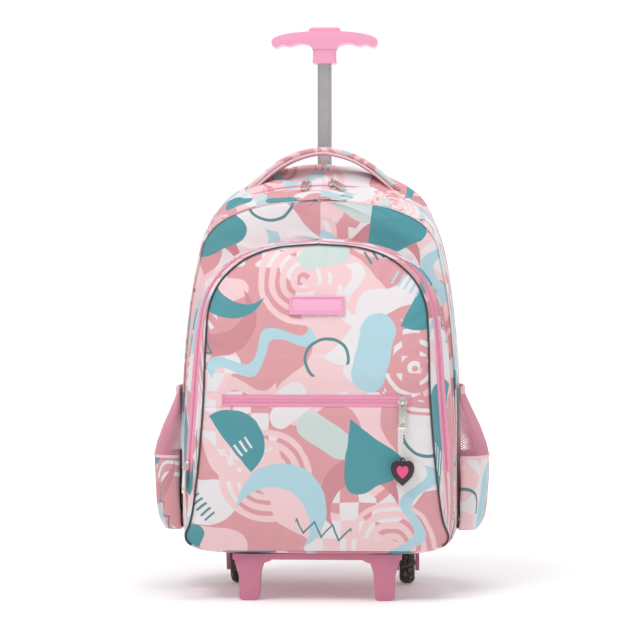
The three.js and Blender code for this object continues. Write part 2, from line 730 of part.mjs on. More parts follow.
// Label: a rounded plate that follows the lean of the panel behind it
function label() {
  const [w, h, r] = [labelWidth / 2, labelHeight / 2, labelCorner];
  const shape = new THREE.Shape();
  shape.moveTo(-w + r, -h);
  shape.lineTo(w - r, -h);
  shape.quadraticCurveTo(w, -h, w, -h + r);
  shape.lineTo(w, h - r);
  shape.quadraticCurveTo(w, h, w - r, h);
  shape.lineTo(-w + r, h);
  shape.quadraticCurveTo(-w, h, -w, h - r);
  shape.lineTo(-w, -h + r);
  shape.quadraticCurveTo(-w, -h, -w + r, -h);
  const [low, high] = [onPanel(0, labelZ - h).point, onPanel(0, labelZ + h).point];
  const tilt = Math.atan2(high.y - low.y, high.z - low.z);
  const crest = Math.min(...[-1, 0, 1].map((s) => onPanel(0, labelZ + s * h).point.y
    - THREE.MathUtils.lerp(low.y, high.y, (s + 1) / 2)));
  const geometry = slab(shape, labelThickness, labelThickness / 4, new THREE.Vector3()).rotateX(-tilt);
  const middle = (low.y + high.y) / 2 + crest - (labelThickness / 2 + seat) / Math.cos(tilt);
  return bareGeometry(geometry.translate(0, middle, labelZ));
}

add('label', label(), labelPink);

// Side pockets: a cloth pouch, a net above it and an elastic binding round the mouth
const pocketSteps = 6;

function pocketRing(section, offset) {
  const z = pocketBottomZ + section.height * pocketHeight;
  const deep = section.depth * pocketHalfDepth + offset;
  const out = section.bulge * pocketBulge + offset;
  const side = halfWidth - pocketAnchor;
  const arc = [];
  for (let i = 0; i <= 2 * pocketSteps; i += 1) {
    const angle = -Math.PI / 2 + (Math.PI * i) / (2 * pocketSteps);
    const reach = Math.cos(angle) ** 0.7;
    arc.push(new THREE.Vector3(halfWidth - 2 + out * reach, pocketCentreY + deep * Math.sin(angle), z));
  }
  const back = [new THREE.Vector3(side, pocketCentreY + deep, z), new THREE.Vector3(side, pocketCentreY - deep, z)];
  const ring = [...arc, ...back];
  const half = pocketSteps;
  return [...ring.slice(half), ...ring.slice(0, half)];
}

// The loft's caps need an even ring that is mirror-ordered about its first point
function pocketRings(offset, overshoot) {
  const rings = pocketSections.map((section) => pocketRing(section, offset));
  rings.forEach((ring) => {
    const half = ring.length / 2 - 0.5;
    const middle = ring[Math.floor(half)].clone().lerp(ring[Math.ceil(half)], 0.5);
    ring.splice(Math.ceil(half), 0, middle);
  });
  rings[0].forEach((p) => p.setZ(p.z - offset));
  rings[rings.length - 1].forEach((p) => p.setZ(p.z + overshoot));
  return rings;
}

const pocketShell = solidOf(loft(pocketRings(0, 0)))
  .subtract(solidOf(loft(pocketRings(-pocketWall, 10))))
  .subtract(solidOf(mainBody(seat, 20)));
const netFrom = pocketBottomZ + pocketClothShare * pocketHeight;
const netTo = pocketBottomZ + pocketHeight - bindingHeight;

function pocketBand(bottom, top, solid = pocketShell) {
  return geometryOf(solid.intersect(solidOf(box([0, wide], [-wide, wide], [bottom, top]))));
}

const bindingSolid = solidOf(loft(pocketRings(0.8, 0)))
  .subtract(solidOf(loft(pocketRings(-pocketWall - 0.8, 10))))
  .subtract(solidOf(mainBody(seat, 20)));
const pocketPieces = [
  { name: 'pocket_cloth', geometry: pocketBand(0, netFrom - seat), finish: printedCloth },
  { name: 'pocket_net', geometry: pocketBand(netFrom, netTo - seat), finish: netPink },
  { name: 'pocket_binding', geometry: pocketBand(netTo, above, bindingSolid), finish: pinkTape },
];
for (const { name, geometry, finish } of pocketPieces) {
  add(`${name}_right`, geometry, finish);
  add(`${name}_left`, mirrored(geometry), finish);
}

// Grab handle: a padded arch, its underside faced with a strip of spacer net
function archRows(drop) {
  return grabProfile.map((row) => [
    row.across * grabSpan / 2, grabFootZ + row.rise * grabRise - drop(row),
  ]);
}

function archBand(upper, lower, halfY, bevel) {
  const [top, bottom] = [archRows(upper), archRows(lower)];
  const flip = ([x, z]) => [-x, z];
  const ring = [
    ...top, ...top.slice(0, -1).reverse().map(flip),
    ...bottom.map(flip), ...bottom.slice(0, -1).reverse(),
  ];
  return upright(ring.reverse(), [grabY - halfY, grabY + halfY], bevel);
}

const thick = (row) => row.thick * grabThickness;
const bodyClear = solidOf(mainBody(seat, 20));
add('grab_handle', geometryOf(
  solidOf(archBand(() => 0, (row) => thick(row) - grabMeshThickness - seat, grabWidth / 2, 2))
    .subtract(bodyClear)), printedCloth);
add('grab_handle_underside', geometryOf(
  solidOf(archBand((row) => thick(row) - grabMeshThickness, thick, grabWidth / 2 - 2, 0))
    .subtract(bodyClear)), netPink);

// Padded back panel with a channel for the trolley tube and a shallow air channel behind
const panelSections = [
  { depth: 0, shrink: 0 }, { depth: 0.55, shrink: 0 }, { depth: 0.88, shrink: 3 }, { depth: 1, shrink: 9 },
];

function backPanel() {
  const half = mainSections[0].width * halfWidth - backPanelInset;
  const top = topOf(mainSections[0]) - backPanelInset;
  const rings = panelSections.map(({ depth, shrink }) => outlineRing(
    bodyOutline, half - shrink, bagBottomZ + shrink, top - shrink,
    () => backWallY + seat + depth * backPanelDepth));
  const channel = box([-tubeWidth / 2 - seat, tubeWidth / 2 + seat],
    [backWallY - 1, tubeY + tubeDepth / 2 + seat], [0, above]);
  const vent = box([-ventWidth / 2, ventWidth / 2],
    [backFaceY - ventDepth, backFaceY + 1], [0, above]);
  return geometryOf(cut(solidOf(loft(rings)), channel, vent));
}

add('back_panel', backPanel(), padCloth);

// Ribbons: a flat section swept along a route of points
function ribbon(points, widths, thickness, chamfer) {
  const path = new THREE.CatmullRomCurve3(points);
  const steps = 2 * (points.length - 1);
  const rings = [];
  for (let i = 0; i <= steps; i += 1) {
    const at = path.getPoint(i / steps);
    const along = path.getTangent(i / steps);
    const across = new THREE.Vector3(1, 0, 0).addScaledVector(along, -along.x).normalize();
    const out = new THREE.Vector3().crossVectors(across, along);
    const slot = (i / steps) * (widths.length - 1);
    const low = Math.min(Math.floor(slot), widths.length - 2);
    const w = THREE.MathUtils.lerp(widths[low], widths[low + 1], slot - low) / 2;
    const t = thickness / 2;
    const half = [[0, -t], [w - chamfer, -t], [w, -t + chamfer], [w, t - chamfer], [w - chamfer, t], [0, t]];
    const ring = [...half, ...half.slice(1, -1).reverse().map(([x, y]) => [-x, y])];
    rings.push(ring.map(([x, y]) => at.clone().addScaledVector(across, x).addScaledVector(out, y)));
  }
  return bareGeometry(loft(rings));
}

const routePoint = ({ across, off, height }) => new THREE.Vector3(
  across * halfWidth, backFaceY + off * strapStandOff, bagBottomZ + height * bodyHeight);
const strap = ribbon(strapRoute.map(routePoint), strapRoute.map((row) => row.width * strapWidth),
  strapThickness, 2.5);
const webbing = ribbon(webbingRoute.map(routePoint), webbingRoute.map(() => webbingWidth),
  webbingThickness, 0.5);

// Strap adjuster: a plate with two slots that fills the way from the strap's end to the webbing
function adjuster() {
  const [upper, lower] = [routePoint(strapRoute[strapRoute.length - 1]), routePoint(webbingRoute[0])];
  const along = lower.clone().sub(upper);
  const long = along.length() - 2 * seat - webbingThickness;
  const plate = box([-adjusterWidth / 2, adjusterWidth / 2], [-long / 2, long / 2 - 2 * seat],
    [-adjusterThickness / 2, adjusterThickness / 2]);
  const slotHalf = webbingWidth / 2 + 1;
  const slots = [-1, 1].map((s) => box([-slotHalf, slotHalf],
    [s * long * 0.2 - long * 0.09, s * long * 0.2 + long * 0.09], [-adjusterThickness, adjusterThickness]));
  const basis = clothBasis(upper.lerp(lower, 0.5), new THREE.Vector3(0, 1, 0), along);
  return bareGeometry(geometryOf(cut(solidOf(plate), ...slots)).applyMatrix4(basis));
}

for (const [side, turn] of [['right', (g) => g], ['left', mirrored]]) {
  add(`shoulder_strap_${side}`, turn(strap), padCloth);
  add(`strap_adjuster_${side}`, turn(adjuster()), hubGrey);
  add(`strap_webbing_${side}`, turn(webbing), netPink);
}

// Trolley: outer tube with its mouth, inner pole, grip and button
function trolleyTube() {
  const [w, d] = [tubeWidth / 2, tubeDepth / 2];
  const outer = box([-w, w], [tubeY - d, tubeY + d], [tubeBottomZ, tubeTopZ]);
  const lip = box([-w - lipWall, w + lipWall], [tubeY - d, tubeY + d + lipWall],
    [tubeTopZ, tubeTopZ + lipHeight]);
  const bore = box([-poleWidth / 2 - seat, poleWidth / 2 + seat],
    [tubeY - poleDepth / 2 - seat, tubeY + poleDepth / 2 + seat], [0, above]);
  return geometryOf(cut(join(solidOf(outer), lip), bore));
}

add('trolley_tube', trolleyTube(), poleGrey);

function pole() {
  const [w, d, c] = [poleWidth / 2, poleDepth / 2, 1.5];
  const shape = new THREE.Shape([
    [-w + c, -d], [w - c, -d], [w, -d + c], [w, d - c], [w - c, d], [-w + c, d], [-w, d - c], [-w, -d + c],
  ].map(([x, y]) => new THREE.Vector2(x, y)));
  const geometry = new THREE.ExtrudeGeometry(shape, { depth: poleLength, bevelEnabled: false });
  return bareGeometry(geometry.translate(0, tubeY, poleTopZ - poleLength));
}

add('pole', pole(), poleGrey);

const buttonBottomZ = gripTopZ + buttonRise - buttonHeight;

function grip() {
  const half = gripProfile.map((row) => [row.across * gripWidth / 2, gripTopZ - row.drop * gripBar]);
  const neck = [[neckWidth / 2, gripTopZ - 1.7 * gripBar], [collarWidth / 2 + 0.2, gripTopZ - 2 * gripBar]];
  const right = [...half, ...neck];
  const ring = [...right, ...right.slice(1).reverse().map(([x, z]) => [-x, z])];
  const bar = upright(ring.reverse(), [tubeY - gripDepth / 2, tubeY + gripDepth / 2], 2.5);
  const collar = box([-collarWidth / 2, collarWidth / 2],
    [tubeY - collarDepth / 2, tubeY + collarDepth / 2], [collarBottomZ, gripTopZ - 1.5 * gripBar]);
  const socket = box([-poleWidth / 2 - seat, poleWidth / 2 + seat],
    [tubeY - poleDepth / 2 - seat, tubeY + poleDepth / 2 + seat], [0, poleTopZ + seat]);
  const well = box([-buttonWidth / 2 - seat, buttonWidth / 2 + seat],
    [tubeY - buttonDepth / 2 - seat, tubeY + buttonDepth / 2 + seat],
    [buttonBottomZ - buttonTravel - seat, gripTopZ + gripBar]);
  return geometryOf(cut(join(solidOf(bar), collar), socket, well));
}

function button() {
  const [w, r] = [buttonWidth / 2, 3];
  const top = gripTopZ + buttonRise;
  return bareGeometry(upright([
    [-w, buttonBottomZ], [w, buttonBottomZ], [w, top - r], [w - 0.3 * r, top - 0.3 * r],
    [w - r, top], [-w + r, top], [-w + 0.3 * r, top - 0.3 * r], [-w, top - r],
  ], [tubeY - buttonDepth / 2, tubeY + buttonDepth / 2]));
}

add('trolley_grip', grip(), gripPink);
add('trolley_button', button(), gripPink);

// Chassis: tray, two front legs with convex fronts, arch between them and the wheel brackets
const legTop = trayHalfWidth - 1;
const archLow = trayTop - 8.5;
const archHigh = trayTop - trayThickness;

function legPlan(x) {
  const [inner, outer, front] = [legInner - 12, legTop, trayFrontY];
  const shape = new THREE.Shape();
  shape.moveTo(inner, front + legDepth);
  shape.lineTo(inner, front + 5);
  shape.quadraticCurveTo((inner + outer) / 2, front - 5, outer, front + 5);
  shape.lineTo(outer, front + legDepth);
  const geometry = new THREE.ExtrudeGeometry(shape, { depth: trayTop, bevelEnabled: false, curveSegments: 8 });
  return x > 0 ? geometry : mirrored(geometry);
}

function legFront() {
  const foot = (legInner + legOuter) / 2;
  const points = [
    [legInner - 12, trayTop], [legInner - 12, archLow + 1], [legInner - 4, archLow - 1.8],
    [legInner - 1, 30], [legInner, 18], [legInner + 1, 2.4], [foot - 6, 0], [foot + 6, 0],
    [legOuter - 0.5, 2.4], [legOuter, 26], [legOuter + 2.5, 34], [legTop, trayTop],
  ];
  return upright(points, [trayFrontY - legDepth, trayFrontY + 2 * legDepth]);
}

function chassis() {
  const rear = wheelCentreX + wheelWidth / 2 + runningGap + bracketWall;
  const plan = new THREE.Shape([
    [-legTop, trayFrontY + 4], [legTop, trayFrontY + 4], [legTop, wheelY - 34], [rear, wheelY - 22],
    [rear, backWallY + 12], [rear - 12, backFaceY - 2], [-rear + 12, backFaceY - 2],
    [-rear, backWallY + 12], [-rear, wheelY - 22], [-legTop, wheelY - 34],
  ].map(([x, y]) => new THREE.Vector2(x, y)));
  const tray = new THREE.ExtrudeGeometry(plan, { depth: trayThickness, bevelEnabled: false })
    .translate(0, 0, archHigh);
  const leg = solidOf(legFront()).intersect(solidOf(legPlan(1)));
  const socket = box([-tubeWidth, tubeWidth], [tubeY - tubeDepth, tubeY + tubeDepth],
    [archHigh - 8, trayTop - 1]);
  let solid = join(solidOf(tray), geometryOf(leg), mirrored(geometryOf(leg)), socket);
  const reach = wheelWidth / 2 + runningGap;
  const bracket = (x) => {
    const shape = new THREE.Shape();
    shape.moveTo(wheelY - bracketLength / 2, trayTop - 1);
    shape.lineTo(wheelY - 9, wheelRadius);
    shape.absarc(wheelY, wheelRadius, 9, Math.PI, 2 * Math.PI);
    shape.lineTo(wheelY + bracketLength / 2, trayTop - 1);
    const geometry = new THREE.ExtrudeGeometry(shape, {
      depth: bracketWall, bevelEnabled: false, curveSegments: 6,
    });
    geometry.applyMatrix4(new THREE.Matrix4().makeBasis(
      new THREE.Vector3(0, 1, 0), new THREE.Vector3(0, 0, 1), new THREE.Vector3(1, 0, 0)));
    return geometry.translate(x, 0, 0);
  };
  for (const centre of [-wheelCentreX, wheelCentreX]) {
    solid = join(solid, bracket(centre - reach - bracketWall), bracket(centre + reach));
    const clear = wheelRadius + 2;
    const well = box([centre - reach, centre + reach], [wheelY - clear, wheelY + clear], [0, above]);
    const bore = new THREE.CylinderGeometry(axleRadius + seat, axleRadius + seat, 4 * bracketWall + 2 * reach, 16)
      .rotateZ(Math.PI / 2).translate(centre, wheelY, wheelRadius);
    solid = cut(solid, well, bore);
  }
  return geometryOf(solid);
}

add('chassis', chassis(), chassisPink);

// A turned piece about the wheel's axle: its profile is radius and offset across
function turned(profile, centre, segments) {
  const points = profile.map(([radius, across]) => new THREE.Vector2(radius, across));
  const geometry = new THREE.LatheGeometry([...points, points[0].clone()], segments);
  return bareGeometry(geometry.rotateZ(Math.PI / 2).translate(centre, wheelY, wheelRadius));
}

const tyreBore = hubRadius + seat;
const tread = wheelWidth / 2;
const tyreProfile = [
  [tyreBore, -tread + 1], [wheelRadius - 6, -tread], [wheelRadius - 2.2, -tread + 1.6],
  [wheelRadius, -tread + 6], [wheelRadius, tread - 6], [wheelRadius - 2.2, tread - 1.6],
  [wheelRadius - 6, tread], [tyreBore, tread - 1],
];
const hubProfile = [
  [axleRadius + seat, -tread], [7, -tread], [7, -tread + 3], [hubRadius - 3, -tread + 3],
  [hubRadius, -tread + 1], [hubRadius, tread - 1], [hubRadius - 3, tread - 3], [7, tread - 3],
  [7, tread], [axleRadius + seat, tread],
];
for (const [side, sign] of [['left', -1], ['right', 1]]) {
  const centre = sign * wheelCentreX;
  const reach = wheelWidth / 2 + runningGap + bracketWall;
  add(`tyre_${side}`, turned(tyreProfile, centre, 24), tyreBlack);
  add(`hub_${side}`, turned(hubProfile, centre, 16), hubGrey);
  add(`axle_${side}`, bareGeometry(new THREE.CylinderGeometry(axleRadius, axleRadius, 2 * reach, 16)
    .rotateZ(Math.PI / 2).translate(centre, wheelY, wheelRadius)), nickel);
}

// The origin is on the floor under the middle of the object's box
const bounds = new THREE.Box3().setFromObject(bag);
bag.position.y = -(bounds.min.y + bounds.max.y) / 2;

export default bag;
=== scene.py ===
"""Looks of a child's wheeled backpack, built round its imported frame.

Every length is in metres. +Z is up, the front of the bag faces -Y, and +X is to the right of someone
who looks at the front.
"""
from __future__ import annotations

import json
import logging
import math
from bisect import bisect_left
from dataclasses import dataclass
from enum import Enum
from typing import Callable, NamedTuple, Sequence

import bmesh
import bpy
from mathutils import Matrix, Vector, noise


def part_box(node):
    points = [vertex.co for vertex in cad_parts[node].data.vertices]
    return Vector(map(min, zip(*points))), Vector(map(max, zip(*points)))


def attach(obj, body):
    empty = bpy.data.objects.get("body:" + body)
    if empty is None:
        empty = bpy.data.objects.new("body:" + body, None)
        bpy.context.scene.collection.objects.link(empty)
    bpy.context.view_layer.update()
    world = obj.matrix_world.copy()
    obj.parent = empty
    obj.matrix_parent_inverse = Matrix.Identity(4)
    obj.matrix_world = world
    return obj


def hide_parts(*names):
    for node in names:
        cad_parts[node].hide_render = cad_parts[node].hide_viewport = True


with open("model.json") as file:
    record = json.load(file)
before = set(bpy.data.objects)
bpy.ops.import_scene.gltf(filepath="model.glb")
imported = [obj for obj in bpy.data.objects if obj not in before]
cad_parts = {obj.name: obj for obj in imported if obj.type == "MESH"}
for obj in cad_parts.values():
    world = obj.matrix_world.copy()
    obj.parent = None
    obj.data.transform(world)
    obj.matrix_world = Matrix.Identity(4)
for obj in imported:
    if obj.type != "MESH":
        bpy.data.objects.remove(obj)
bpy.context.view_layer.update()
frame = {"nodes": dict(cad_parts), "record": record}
LOG = logging.getLogger("backpack")
UP = Vector((0.0, 0.0, 1.0))
RIGHT = Vector((1.0, 0.0, 0.0))
FORWARD = Vector((0.0, -1.0, 0.0))
BACKWARD = Vector((0.0, 1.0, 0.0))
PRINT_MAP = "print"
Piece = bpy.types.Object
Shape = bmesh.types.BMesh
Socket = bpy.types.NodeSocket
Material = bpy.types.Material
Pair = tuple[float, float]


class Body(Enum):
    """Bodies of the frame that pieces ride on."""

    BAG = "bag"
    HANDLE = "handle"
    BUTTON = "button"
    WHEEL_LEFT = "wheel_left"
    WHEEL_RIGHT = "wheel_right"
    PULL_LEFT = "pull_left"
    PULL_RIGHT = "pull_right"
    PULL_SIDE = "pull_side"


class Side(Enum):
    """The two sides of the bag, seen from its front."""

    LEFT = -1
    RIGHT = 1

    @property
    def word(self) -> str:
        """The side's name as nodes spell it."""
        return self.name.lower()


def lerp(a: float, b: float, t: float) -> float:
    """Value at share t of the way from a to b."""
    return a + (b - a) * t


def clamp(value: float, low: float = 0.0, high: float = 1.0) -> float:
    """Value kept between two limits."""
    return max(low, min(high, value))


def smooth(low: float, high: float, value: float) -> float:
    """Smooth step from 0 at low to 1 at high."""
    t = clamp((value - low) / (high - low))
    return t * t * (3 - 2 * t)


def spread(start: float, stop: float, steps: int) -> list[float]:
    """Evenly spaced values from start to stop, both included."""
    return [lerp(start, stop, i / steps) for i in range(steps + 1)]


def ripple(x: float, y: float, z: float) -> float:
    """Smooth noise between about -1 and 1 at a point."""
    return noise.noise(Vector((x, y, z)))


# Shader kit


class Value:
    """A socket whose operators add Math nodes to its material's tree."""

    def __init__(self, tree: "Tree", socket: Socket) -> None:
        """Wraps one output socket."""
        self.tree = tree
        self.socket = socket

    def math(self, operation: str, *others: "Value | float") -> "Value":
        """Result of a Math node whose first input is this value."""
        return self.tree.math(operation, self, *others)

    def __add__(self, other: "Value | float") -> "Value":
        """Sum."""
        return self.math("ADD", other)

    __radd__ = __add__

    def __sub__(self, other: "Value | float") -> "Value":
        """Difference."""
        return self.math("SUBTRACT", other)

    def __rsub__(self, other: float) -> "Value":
        """Difference from a number."""
        return self.tree.math("SUBTRACT", other, self)

    def __mul__(self, other: "Value | float") -> "Value":
        """Product."""
        return self.math("MULTIPLY", other)

    __rmul__ = __mul__

    def __abs__(self) -> "Value":
        """Absolute value."""
        return self.math("ABSOLUTE")

    def most(self, other: "Value | float") -> "Value":
        """Larger of two values."""
        return self.math("MAXIMUM", other)

    def sine(self) -> "Value":
        """Sine of an angle in radians."""
        return self.math("SINE")

    def wrapped(self, half: float) -> "Value":
        """Value wrapped into the range from -half to half."""
        return self.math("WRAP", half, -half)

    def inside(self, soft: float) -> "Value":
        """Mask of 1 where this distance is negative, with a soft edge.

        Args:
            soft: Half the edge's width.

        Returns:
            The mask.
        """
        ranged = self.tree.node(
            "ShaderNodeMapRange", {"interpolation_type": "SMOOTHSTEP"},
            {"Value": self, "From Min": -soft, "From Max": soft, "To Min": 1.0, "To Max": 0.0})
        return Value(self.tree, ranged.outputs["Result"])


Source = Value | float | tuple | Vector | Socket


class Tree:
    """Node tree of one material."""

    def __init__(self, name: str) -> None:
        """Starts a material with an empty tree and its output node.

        Args:
            name: The material's name.
        """
        self.material = bpy.data.materials.new(name)
        self.material.use_nodes = True
        self.nodes = self.material.node_tree.nodes
        self.nodes.clear()
        self.output = self.node("ShaderNodeOutputMaterial")

    def put(self, socket: Socket, source: Source) -> None:
        """Links a socket or sets its value.

        Args:
            socket: The socket.
            source: What goes into it.
        """
        if isinstance(source, Value):
            source = source.socket
        if isinstance(source, Socket):
            self.material.node_tree.links.new(source, socket)
        else:
            socket.default_value = source

    def node(self, kind: str, settings: dict | None = None,
             sockets: dict | None = None) -> bpy.types.Node:
        """Makes any node.

        Args:
            kind: The node's type.
            settings: Properties to set first; "stops" fills a ramp with positions and colours.
            sockets: Values or links of its inputs, by name or index.

        Returns:
            The new node.
        """
        made = self.nodes.new(kind)
        for key, value in (settings or {}).items():
            if key != "stops":
                setattr(made, key, value)
                continue
            ramp = made.color_ramp
            while len(ramp.elements) < len(value):
                ramp.elements.new(1.0)
            for element, (position, color) in zip(ramp.elements, value):
                element.position = position
                element.color = color
        for key, source in (sockets or {}).items():
            self.put(made.inputs[key], source)
        return made

    def math(self, operation: str, *terms: Source) -> Value:
        """Result of a Math node."""
        made = self.node("ShaderNodeMath", {"operation": operation}, dict(enumerate(terms)))
        return Value(self, made.outputs[0])

    def vector(self, operation: str, a: Source, b: Source) -> Socket:
        """Result of a Vector Math node."""
        return self.node("ShaderNodeVectorMath", {"operation": operation}, {0: a, 1: b}).outputs[0]

    def mix(self, factor: Source, a: Source, b: Source) -> Socket:
        """Colour between a and b."""
        made = self.node("ShaderNodeMix", {"data_type": "RGBA"}, {0: factor, 6: a, 7: b})
        return made.outputs[2]

    def place(self) -> Socket:
        """Object coordinates, which are the frame's own."""
        return self.node("ShaderNodeTexCoord").outputs["Object"]

    def map(self) -> Socket:
        """A piece's own flat map, in metres along its surface."""
        return self.node("ShaderNodeUVMap", {"uv_map": PRINT_MAP}).outputs[0]

    def parts(self, vector: Source) -> tuple[Value, Value, Value]:
        """The three parts of a vector."""
        split = self.node("ShaderNodeSeparateXYZ", None, {0: vector})
        return tuple(Value(self, split.outputs[i]) for i in range(3))

    def grain(self, vector: Source, scale: float, detail: float = 2.0, rough: float = 0.5) -> Value:
        """Noise between 0 and 1.

        Args:
            vector: Place.
            scale: Its scale.
            detail: Its octaves.
            rough: Weight of the finer octaves.

        Returns:
            The noise.
        """
        made = self.node("ShaderNodeTexNoise", None, {
            "Vector": vector, "Scale": scale, "Detail": detail, "Roughness": rough})
        return Value(self, made.outputs["Fac"])

    def bump(self, height: Source, strength: float, distance: float) -> Socket:
        """Normal disturbed by a height.

        Args:
            height: The height, from 0 to 1.
            strength: Share of its effect.
            distance: Real height of 1.

        Returns:
            The normal.
        """
        made = self.node("ShaderNodeBump", None, {
            "Height": height, "Strength": strength, "Distance": distance})
        return made.outputs["Normal"]

    def surface(self, **sockets: Source) -> Material:
        """Ends the tree with a Principled shader; names use _ for a space."""
        words = {key.replace("_", " "): value for key, value in sockets.items()}
        shader = self.node("ShaderNodeBsdfPrincipled", None, words)
        self.put(self.output.inputs["Surface"], shader.outputs[0])
        return self.material


def paint(code: str) -> tuple[float, float, float, float]:
    """Linear colour of a six-figure sRGB code.

    Args:
        code: The code.

    Returns:
        Red, green, blue and alpha.
    """
    parts = [int(code[i:i + 2], 16) / 255 for i in (0, 2, 4)]
    linear = [p / 12.92 if p <= 0.04045 else ((p + 0.055) / 1.055) ** 2.4 for p in parts]
    return (*linear, 1.0)


class Paint(Enum):
    """Colours of the bag."""

    BLUSH = "f3cfd2"
    ROSE = "dd9ea4"
    DEEP_ROSE = "cf8c94"
    OFF_WHITE = "ebe8ea"
    MIST = "c8dcd8"
    SKY = "a6d6e2"
    TEAL = "3a98a2"
    LINE_TEAL = "4a8a90"
    TAPE = "f8a9c6"
    TAPE_DARK = "e88fb0"
    LABEL = "f3a4c8"
    NET = "f4adc0"
    PAD = "e8a4b4"
    CORD = "45303a"
    SHADE = "a4586e"

    @property
    def rgba(self) -> tuple[float, float, float, float]:
        """The colour as a shader takes it."""
        return paint(self.value)


@dataclass(frozen=True)
class PrintedCloth:
    """Woven polyester with an abstract cut-paper print."""

    name: str = "printed_cloth"
    tile_width: float = 0.31
    tile_height: float = 0.35
    edge: float = 0.00035
    wobble: float = 0.005
    thread: float = 0.0007
    patch_edge: float = 0.004
    square: float = 0.0095
    band_pitch: float = 0.0058
    band_half: float = 0.0024
    ring_sets: tuple = (((0.150, 0.300), 0.052, Paint.BLUSH), ((0.270, 0.205), 0.046, Paint.ROSE),
                        ((0.100, 0.095), 0.050, Paint.BLUSH), ((0.235, 0.020), 0.048, Paint.BLUSH),
                        ((0.025, 0.235), 0.040, Paint.ROSE))

    def spot(self, u: Value, v: Value, centre: Pair, turn: float) -> tuple[Value, Value]:
        """Coordinates about a motif's centre.

        Args:
            u: Place across the cloth.
            v: Place up the cloth.
            centre: The motif's centre within the repeat.
            turn: Its turn in degrees.

        Returns:
            Place along and across the motif.
        """
        dx = (u - centre[0]).wrapped(self.tile_width / 2)
        dy = (v - centre[1]).wrapped(self.tile_height / 2)
        c, s = math.cos(math.radians(turn)), math.sin(math.radians(turn))
        return dx * c + dy * s, dy * c - dx * s

    @staticmethod
    def away(x: Value, y: Value) -> Value:
        """Distance from a motif's centre."""
        return (x * x + y * y).math("SQRT")

    def disc(self, x: Value, y: Value, radius: float) -> Value:
        """Distance to a disc."""
        return self.away(x, y) - radius

    def half_disc(self, x: Value, y: Value, radius: float) -> Value:
        """Distance to a half disc."""
        return self.disc(x, y, radius).most(y)

    def crescent(self, x: Value, y: Value, radius: float) -> Value:
        """Distance to a crescent."""
        return self.disc(x, y, radius).most(0.86 * radius - self.away(x, y - 0.45 * radius))

    def pebble(self, x: Value, y: Value, radius: float) -> Value:
        """Distance to a long rounded pebble."""
        over = (abs(x) - 0.8 * radius).most(0.0)
        return self.away(over, y) - 0.62 * radius

    def wave(self, x: Value, y: Value, radius: float) -> Value:
        """Distance to a wavy band."""
        crest = (x * (4.6 / radius)).sine() * (0.26 * radius)
        return (abs(y - crest) - 0.15 * radius).most(abs(x) - 1.25 * radius)

    def zigzag(self, x: Value, y: Value, radius: float) -> Value:
        """Distance to a thin zigzag line."""
        crest = x.math("PINGPONG", 0.32 * radius) * 1.5
        return (abs(y - crest) - 0.0017).most(abs(x) - radius)

    def dashes(self, x: Value, y: Value, radius: float) -> Value:
        """Distance to a row of short parallel dashes."""
        line = abs(x.wrapped(0.14 * radius)) - 0.0013
        return line.most(abs(y) - 0.3 * radius).most(abs(x) - 0.6 * radius)

    def hoop(self, x: Value, y: Value, radius: float) -> Value:
        """Distance to a thin open hoop."""
        return (abs(self.away(x, y) - radius) - 0.0016).most(y - 0.55 * radius)

    def sail(self, x: Value, y: Value, radius: float) -> Value:
        """Distance to a rounded three-sided patch.

        Args:
            x: Place along it.
            y: Place across it.
            radius: Its reach.

        Returns:
            The distance, negative inside.
        """
        side = abs(x) * 0.86 + y * 0.5
        low = 0.0 - y
        return self.away(side.most(0.0), low.most(0.0)).most(side.most(low)) - 0.62 * radius

    def ground(self, tree: Tree, flat: Source, u: Value, v: Value) -> Socket:
        """Overlapping patches of blush, rose and off-white, with squares and sets of curved bands.

        Args:
            tree: The material's tree.
            flat: Place on the cloth, its edges cut by hand.
            u: Part of it across the cloth.
            v: Part of it up the cloth.

        Returns:
            The colour under the motifs.
        """
        fields = (((0, 0, 0), 13.0), ((7.3, 2.1, 0), 15.0), ((1.9, 5.2, 0), 10.0))
        rose, pale, where = (tree.grain(tree.vector("ADD", flat, shift), scale, 0.0)
                             for shift, scale in fields)
        color = tree.mix((0.455 - rose).inside(self.patch_edge), Paint.BLUSH.rgba, Paint.ROSE.rgba)
        color = tree.mix((0.575 - pale).inside(self.patch_edge), color, Paint.OFF_WHITE.rgba)
        bars = [(abs(w.wrapped(2 * self.square)) - self.square).inside(self.edge) for w in (u, v)]
        squares = bars[0] + bars[1] - bars[0] * bars[1] * 2.0
        color = tree.mix(squares * (0.57 - where).inside(self.patch_edge), color, Paint.OFF_WHITE.rgba)
        for centre, reach, tint in self.ring_sets:
            away = self.away(*self.spot(u, v, centre, 0))
            bands = (abs(away.wrapped(self.band_pitch)) - self.band_half - pale * 0.002).inside(self.edge)
            color = tree.mix(bands * (away - reach).inside(0.0008), color, tint.rgba)
        return color

    def hand_cut(self, tree: Tree, flat: Source) -> Socket:
        """Place on the cloth, moved a little so that the print's edges wander.

        Args:
            tree: The material's tree.
            flat: Place on the cloth.

        Returns:
            The moved place.
        """
        made = tree.node("ShaderNodeTexNoise", None, {"Vector": flat, "Scale": 38.0, "Detail": 1.0})
        centred = tree.vector("SUBTRACT", made.outputs["Color"], (0.5, 0.5, 0.5))
        return tree.vector("ADD", flat, tree.vector("MULTIPLY", centred, (self.wobble,) * 3))

